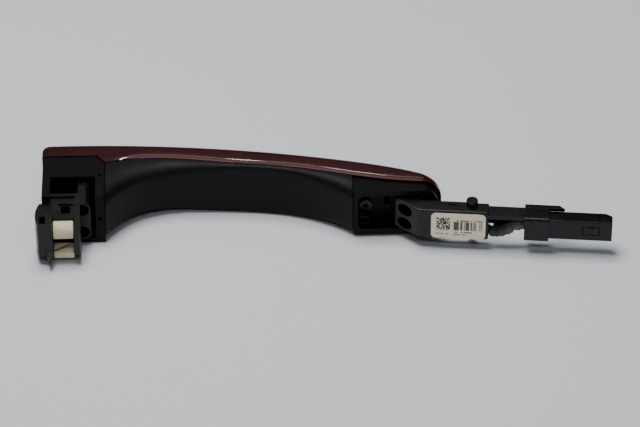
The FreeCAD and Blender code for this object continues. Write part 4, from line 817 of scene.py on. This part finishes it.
    def liner(self) -> None:
        """Builds the grip liner: a trough with soft edges behind the fingers."""
        lines, arch = self.lines, self.lines.arch
        half = lines.half_width - self.grip_step
        along = distances(arch)
        count = 84
        rings = []
        for i in range(count + 1):
            at = along[-1] * (i / count)
            x, y = (float(np.interp(at, along, arch[:, axis])) for axis in (0, 1))
            x = min(max(x, lines.arch_start + 0.2), lines.arch_end - 0.2)
            low = Vector((x, y))
            high = Vector((x, lines.seam(x) - self.grip_gap))
            up = (high - low).normalized()
            tall = (high - low).length * 0.82
            corner = min(self.grip_corner, tall)
            side = [(high - up * 0.01, half), (high - up * 0.6, half)]
            side += [(low + up * tall * (1 - s), half - corner * (1 - c)) for c, s in arc(0, 90, 11)]
            side += [(low, (half - corner) * (1 - k / 5)) for k in range(1, 6)]
            rings.append(mirrored([Vector((*p, z)) for p, z in side]))
        mesh = lofted(rings, closed=False, caps=False)
        target = Vector(self.grip_middle)
        with editing(mesh) as bm:
            middle = min(bm.faces, key=lambda face: (face.calc_center_median() - target).length)
            if middle.normal.y > 0:
                bmesh.ops.reverse_faces(bm, faces=bm.faces)
        liner = mesh_object("grip_trough", mesh, Dress.GRIP)
        wall = liner.modifiers.new("wall", "SOLIDIFY")
        wall.thickness = self.grip_wall * MM
        wall.offset = -1.0
        applied(liner)
        smoothed(liner.data, 45)
        self.keep(liner, "grip_liner", slot="satin_black")

    def build(self) -> None:
        """Builds the strap's pieces."""
        self.cover()
        self.button()
        self.liner()
        self.soften("carrier", 0.45, Dress.NYLON, "frame_black")


@dataclass
class PullLeg(SubAssembly):
    """The rear leg with its two rollers."""

    door: float = 7.0  # the door's plane
    roller_start: float = -229.1
    roller_length: float = 11.0
    pin_radius: float = 1.33

    def roller(self, name: str, node: str, y: float, z: float, radius: float) -> None:
        """Builds a roller with rounded rims, dished ends and a faint parting line.

        Args:
            name: the piece's name.
            node: the CAD node, which is also its body.
            y: its axis across the door.
            z: its axis along the swing axis.
            radius: its radius in millimetres.
        """
        pin, length = self.pin_radius, self.roller_length
        steps = [  # place along the axis and radius, from one end to the parting line
            (0.0, pin), (0.0, pin + 1.1), (0.35, pin + 1.5), (0.35, radius - 1.4), (0.0, radius - 1.1),
            (0.0, radius - 0.5), (0.12, radius - 0.16), (0.5, radius), (length / 2 - 0.1, radius),
            (length / 2, radius + 0.03),
        ]  # fmt: skip
        steps += [(length - along, r) for along, r in reversed(steps[:-1])]
        rings = [
            [Vector((self.roller_start + along, y + r * c, z + r * s)) for c, s in arc(0, 360, 64)[:-1]]
            for along, r in steps
        ]
        mesh = lofted([*rings, rings[0]], closed=True, caps=False)
        smoothed(mesh, 40)
        self.keep(mesh_object(name, mesh, Dress.ACETAL), node, slot="white_acetal", body=node)

    def build(self) -> None:
        """Builds the leg's pieces."""
        self.soften("pull_leg", 0.4, Dress.LEG, "arm_black")
        self.roller("roller_upper", "upper_roller", self.door - 14.6, 4.0, 5.0)
        self.roller("roller_lower", "lower_roller", self.door - 14.8, -9.8, 4.3)


@dataclass
class ArmFrame:
    """The plane of the hinge arm, which leans into the door."""

    angle: float = 6.5
    front: float = -7.0
    end: float = 9.5

    def turn(self) -> Matrix:
        """The matrix from the arm's own frame to the object's."""
        return Matrix.Rotation(math.radians(-self.angle), 4, "Z")


@dataclass
class HingeArm(SubAssembly):
    """The hinge arm and its studs."""

    def build(self) -> None:
        """Builds the arm's pieces."""
        self.soften("hinge_arm", 0.5, Dress.LEG, "arm_black")
        self.soften("pivot_studs", 0.5, Dress.LEG, "arm_black")


@dataclass
class Sticker(SubAssembly):
    """The part sticker: a code block, bars and plain grey lines that stand for nothing."""

    arm: ArmFrame = field(default_factory=ArmFrame)
    length: float = 29.9
    height: float = 16.8
    drop: float = 0.6
    margin: float = 1.6
    corner: float = 2.6
    thickness: float = 0.25
    print_height: float = 0.012  # of the middle of the ink, over the paper

    def to_arm(self, mesh: Mesh) -> None:
        """Moves a mesh from the sticker's plane, x across and y up, to the arm."""
        left = self.arm.end - self.margin - self.length
        place = Matrix.Translation(Vector((left, self.arm.front - self.thickness, -self.drop)) * MM)
        stand = Matrix.Rotation(math.radians(90), 4, "X")
        mesh.transform(self.arm.turn() @ place @ stand)

    def backing(self) -> None:
        """Builds the paper with its round corners and a slightly smaller upper face."""
        left, right = self.corner, self.length - self.corner
        top, middle = self.height / 2 - self.corner, self.length / 2
        centres = ((right, top, 0), (left, top, 90), (left, -top, 180), (right, -top, 270))
        radius = self.corner
        ring = [(x + radius * c, y + radius * s) for x, y, at in centres for c, s in arc(at, 90, 8)]
        levels = ((-self.thickness, 1.0), (-0.04, 1.0), (0.0, 0.994))
        rings = [[Vector((middle + (x - middle) * grow, y * grow, z)) for x, y in ring] for z, grow in levels]
        mesh = lofted(rings, closed=True, caps=True)
        self.to_arm(mesh)
        self.keep(mesh_object("sticker_paper", mesh, Dress.PAPER), "part_label", slot="label_paper")

    def build(self) -> None:
        """Builds the sticker's pieces."""
        self.backing()
        code = PrintedGrid("sticker_code", Dress.PRINT, 14, 14, (0.525, 0.585), 0.62, seed=5)
        self.printed(code, 3.0, -2.7)
        bars = PrintedGrid("sticker_bars", Dress.BARS, 38, 1, (0.405, 5.6), 0.6, seed=11)
        self.printed(bars, 12.4, -2.7)
        for name, columns, pitch, seed, across, up in (
            ("sticker_line_top", 22, (0.69, 1.3), 3, 13.1, 3.05),
            ("sticker_line_middle", 14, (0.67, 1.3), 8, 13.1, -4.75),
            ("sticker_line_low", 13, (0.53, 0.9), 4, 12.4, -6.15),
            ("sticker_line_left", 12, (0.56, 1.1), 2, 2.5, -5.85),
        ):
            line = PrintedGrid(name, Dress.FINE_PRINT, columns, 1, pitch, 0.85, seed, (0.8, 0.7))
            self.printed(line, across, up)

    def printed(self, grid: "PrintedGrid", across: float, up: float) -> None:
        """Prints a grid on the sticker.

        Args:
            grid: the printed grid.
            across: its left edge from the sticker's left edge.
            up: its lower edge from the sticker's middle.
        """
        thing = grid.thing()
        thing.data.transform(Matrix.Translation(Vector((across, up, self.print_height)) * MM))
        self.to_arm(thing.data)
        self.keep(thing)


@dataclass
class PrintedGrid:
    """A grid of printed cells, some of them left out, made with Geometry Nodes."""

    name: str
    finish: Dress
    columns: int
    rows: int
    pitch: Pair
    share: float
    seed: int
    fill: Pair = (1.02, 1.02)
    thickness: float = 0.02

    def tree(self) -> Tree:
        """Builds the node tree, whose inputs take what thing gives them in the same order."""
        tree = bpy.data.node_groups.new(f"{self.name}_nodes", "GeometryNodeTree")
        for name in ("Columns", "Rows", "Width", "Height", "Share", "Seed"):
            kind = "NodeSocketInt" if name in ("Columns", "Rows", "Seed") else "NodeSocketFloat"
            tree.interface.new_socket(name=name, in_out="INPUT", socket_type=kind)
        tree.interface.new_socket(name="Geometry", in_out="OUTPUT", socket_type="NodeSocketGeometry")
        given = put(tree, "NodeGroupInput").outputs
        columns, rows, width, height = (given[name] for name in ("Columns", "Rows", "Width", "Height"))
        spans = [
            calc(tree, "SUBTRACT", calc(tree, "MULTIPLY", count, pitch), pitch)
            for count, pitch in ((columns, width), (rows, height))
        ]
        lattice = {"Size X": spans[0], "Size Y": spans[1], "Vertices X": columns, "Vertices Y": rows}
        grid = put(tree, "GeometryNodeMeshGrid", None, lattice).outputs["Mesh"]
        points = put(tree, "GeometryNodeMeshToPoints", None, {"Mesh": grid}).outputs["Points"]
        odds = {"Probability": given["Share"], "Seed": given["Seed"]}
        chosen = put(tree, "FunctionNodeRandomValue", None, odds, data_type="BOOLEAN").outputs[CHANCE]
        wide, tall = (calc(tree, "MULTIPLY", *pair) for pair in zip((width, height), self.fill))
        size = put(tree, "ShaderNodeCombineXYZ", {2: self.thickness * MM}, {0: wide, 1: tall}).outputs[0]
        cell = put(tree, "GeometryNodeMeshCube", None, {"Size": size}).outputs["Mesh"]
        places = {"Points": points, "Selection": chosen, "Instance": cell}
        printed = put(tree, "GeometryNodeInstanceOnPoints", None, places).outputs["Instances"]
        real = put(tree, "GeometryNodeRealizeInstances", None, {"Geometry": printed}).outputs["Geometry"]
        ink = {"Material": self.finish.made()}
        dressed = put(tree, "GeometryNodeSetMaterial", ink, {"Geometry": real}).outputs["Geometry"]
        put(tree, "NodeGroupOutput", None, {"Geometry": dressed})
        return tree

    def thing(self) -> Thing:
        """Runs the tree and gives a plain mesh with its lower left corner at the origin."""
        tree = self.tree()
        carrier = mesh_object(self.name, bpy.data.meshes.new(self.name), self.finish)
        nodes = carrier.modifiers.new("print", "NODES")
        nodes.node_group = tree
        values = (self.columns, self.rows, self.pitch[0] * MM, self.pitch[1] * MM, self.share, self.seed)
        sockets = [s for s in tree.interface.items_tree if s.in_out == "INPUT"]
        for socket, value in zip(sockets, values):
            nodes[socket.identifier] = value
        cells = applied(carrier).data
        cells.materials.clear()
        cells.materials.append(self.finish.made())
        cells.polygons.foreach_set("material_index", [0] * len(cells.polygons))
        middle = Vector((self.columns * self.pitch[0], self.rows * self.pitch[1], 0)) * (MM / 2)
        cells.transform(Matrix.Translation(middle))
        return carrier


@dataclass
class TapedLead(SubAssembly):
    """The cloth-taped stretch of the lead between the arm and the connector."""

    arm: ArmFrame = field(default_factory=ArmFrame)
    radius: float = 3.0
    pitch: float = 4.8
    step: float = 0.55
    tape_from: float = 10.2  # where the tape starts along the arm
    knot_at: float = 18.0  # lump where the tape's end is stuck down, along the tape
    route: tuple[Triple, ...] = (
        (-20.0, -1.2, 0.0), (2.5, -1.2, 0.0), (12.0, -2.8, -6.3),
        (17.5, -3.6, -5.2), (24.5, -2.8, -0.4), (31.8, -2.8, 0.0),
    )  # fmt: skip

    def centre_line(self) -> list[Vector]:
        """The taped stretch of the lead's own route, as points in the arm's frame, in millimetres."""
        return [p for p in rounded_route([Vector(p) for p in self.route]) if p.x >= self.tape_from]

    def radius_at(self, run: float, turn: float) -> float:
        """The tape's radius at a distance along it and an angle round it: laps, uneven lie and knot."""
        phase = (run / self.pitch + turn / (2 * math.pi)) % 1.0
        lap = self.step * min(phase / 0.86, (1 - phase) / 0.14)
        lump = 0.22 * math.sin(run * 0.9 + 2 * turn) + 0.1 * math.sin(run * 2.3 - 3 * turn)
        knot = 0.45 * math.exp(-(((run - self.knot_at) / 2.2) ** 2)) * (1 + math.cos(turn - 0.6)) / 2
        return self.radius - 0.3 + lap + lump + knot

    def build(self) -> None:
        """Winds the tape round the lead."""
        points = self.centre_line()
        around = 40
        rings = []
        run = 0.0
        side = Vector((0, 0, 1))
        for i, p in enumerate(points):
            ahead = (points[min(i + 1, len(points) - 1)] - points[max(i - 1, 0)]).normalized()
            if i:
                run += (p - points[i - 1]).length
            side = (side - ahead * side.dot(ahead)).normalized()
            other = ahead.cross(side)
            turns = [2 * math.pi * k / around for k in range(around)]
            rings.append(
                [p + (side * math.cos(t) + other * math.sin(t)) * self.radius_at(run, t) for t in turns]
            )
        mesh = lofted(rings, closed=True, caps=True)
        mesh.transform(self.arm.turn())
        smoothed(mesh, 50)
        self.keep(mesh_object("tape_winding", mesh, Dress.TAPE), "taped_bundle", slot="tape")


@dataclass
class Connector(SubAssembly):
    """The in-line connector and the holder that clips it to the arm."""

    def build(self) -> None:
        """Builds the connector's pieces."""
        self.soften("connector_holder", 0.9, Dress.CONNECTOR, "connector_black", segments=3)
        self.soften("connector_housing", 0.5, Dress.CONNECTOR, "connector_black", segments=3)
        self.soften("connector_latch", 0.15, Dress.CONNECTOR, "connector_black", body="latch")


@dataclass
class Hidden:
    """CAD nodes that stay as they are and only get a finish."""

    finishes: tuple[tuple[Dress, tuple[str, ...]], ...] = (
        (Dress.STEEL, ("upper_roller_pin", "lower_roller_pin")),
        (Dress.SPRING, ("keeper_spring",)),
        (Dress.BRASS, ("terminals",)),
        (Dress.SEAL, ("wire_seal",)),
        (Dress.JACKET, ("lead",)),
        (Dress.CHIPS, ("tact_switch", "board_parts")),
        (Dress.ACETAL, ("switch_plunger",)),
        (Dress.BOARD, ("sensor_board",)),
        (Dress.NYLON, ("board_posts",)),
        (Dress.FERRITE, ("ferrite_bar",)),
        (Dress.GRIP, ("aerial_former",)),
        (Dress.COPPER, ("aerial_winding",)),
        (Dress.FOAM, ("aerial_pads",)),
        (Dress.BLACK_ZINC, ("arm_screws", "leg_screws", "cover_screw")),
    )

    def build(self) -> None:
        """Gives each node its finish."""
        for finish, nodes in self.finishes:
            for node in nodes:
                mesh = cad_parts[node].data
                mesh.materials.clear()
                mesh.materials.append(finish.made())
                log.info("%s: finish %s", node, finish.value.name)


@dataclass(frozen=True)
class Lamp:
    """A soft light that faces the handle: its place and its two sides in metres, its power in watts."""

    name: str
    place: Triple
    size: Pair
    power: float

    def build(self) -> None:
        """Adds the light to the scene."""
        data = bpy.data.lights.new(self.name, "AREA")
        data.shape = "RECTANGLE"
        data.size, data.size_y = self.size
        data.energy = self.power
        light = bpy.data.objects.new(self.name, data)
        bpy.context.scene.collection.objects.link(light)
        light.location = self.place
        aim = Vector((-0.08, 0.01, 0.0)) - Vector(self.place)
        light.rotation_euler = aim.to_track_quat("-Z", "Y").to_euler()


@dataclass
class Studio:
    """Floor, soft light and the camera at the photograph's angle."""

    floor: float = -16.6
    floor_half: float = 4.0  # in metres
    sky_strength: float = 0.07
    target: Triple = (-83.1, 7.2, 0.06)
    distance: float = 1956.0
    azimuth: float = -2.1
    elevation: float = 37.0
    lens: float = 200.0
    lamps: tuple[Lamp, ...] = (
        Lamp("overhead", (-0.3, 0.1, 1.3), (0.8, 0.5), 19.0),
        Lamp("strip", (-0.1, 0.8, 0.93), (0.7, 0.03), 0.3),
        Lamp("edge", (-0.08, -0.72, 0.96), (1.1, 0.05), 1.8),
        Lamp("glint_rear", (-0.145, 0.8, 0.93), (0.03, 0.05), 0.16),
        Lamp("glint_front", (-0.06, 0.8, 0.93), (0.07, 0.03), 0.16),
    )

    def camera(self) -> None:
        """Creates the camera and makes it the scene's own."""
        data = bpy.data.cameras.new("camera")
        data.lens = self.lens
        data.sensor_width = 36.0
        data.sensor_fit = "HORIZONTAL"
        data.clip_start = 0.01
        camera = bpy.data.objects.new("camera", data)
        bpy.context.scene.collection.objects.link(camera)
        side, up = math.radians(self.azimuth), math.radians(self.elevation)
        away = Vector((math.sin(side) * math.cos(up), -math.cos(side) * math.cos(up), math.sin(up)))
        camera.location = (Vector(self.target) + away * self.distance) * MM
        camera.rotation_euler = (-away).to_track_quat("-Z", "Y").to_euler()
        bpy.context.scene.camera = camera

    def build(self) -> None:
        """Builds the floor, the lights and the camera."""
        half, z = self.floor_half, self.floor * MM
        mesh = bpy.data.meshes.new("floor")
        sides = ((-half, -half), (half, -half), (half, half), (-half, half))
        mesh.from_pydata([(x, y, z) for x, y in sides], [], [(0, 1, 2, 3)])
        floor = mesh_object("floor", mesh, Dress.BACKDROP)
        world = bpy.data.worlds.new("studio")
        world.use_nodes = True
        sky = world.node_tree.nodes["Background"]
        sky.inputs["Color"].default_value = linear("#dfe5ee")
        sky.inputs["Strength"].default_value = self.sky_strength
        bpy.context.scene.world = world
        for lamp in self.lamps:
            lamp.build()
        self.camera()


def main() -> None:
    """Builds the studio and the handle."""
    logging.basicConfig(level=logging.INFO, format="%(name)s %(message)s")
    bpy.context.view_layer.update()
    Studio().build()
    for group in (Strap(), PullLeg(), HingeArm(), Sticker(), TapedLead(), Connector(), Hidden()):
        group.build()


if __name__ == "__main__":
    main()
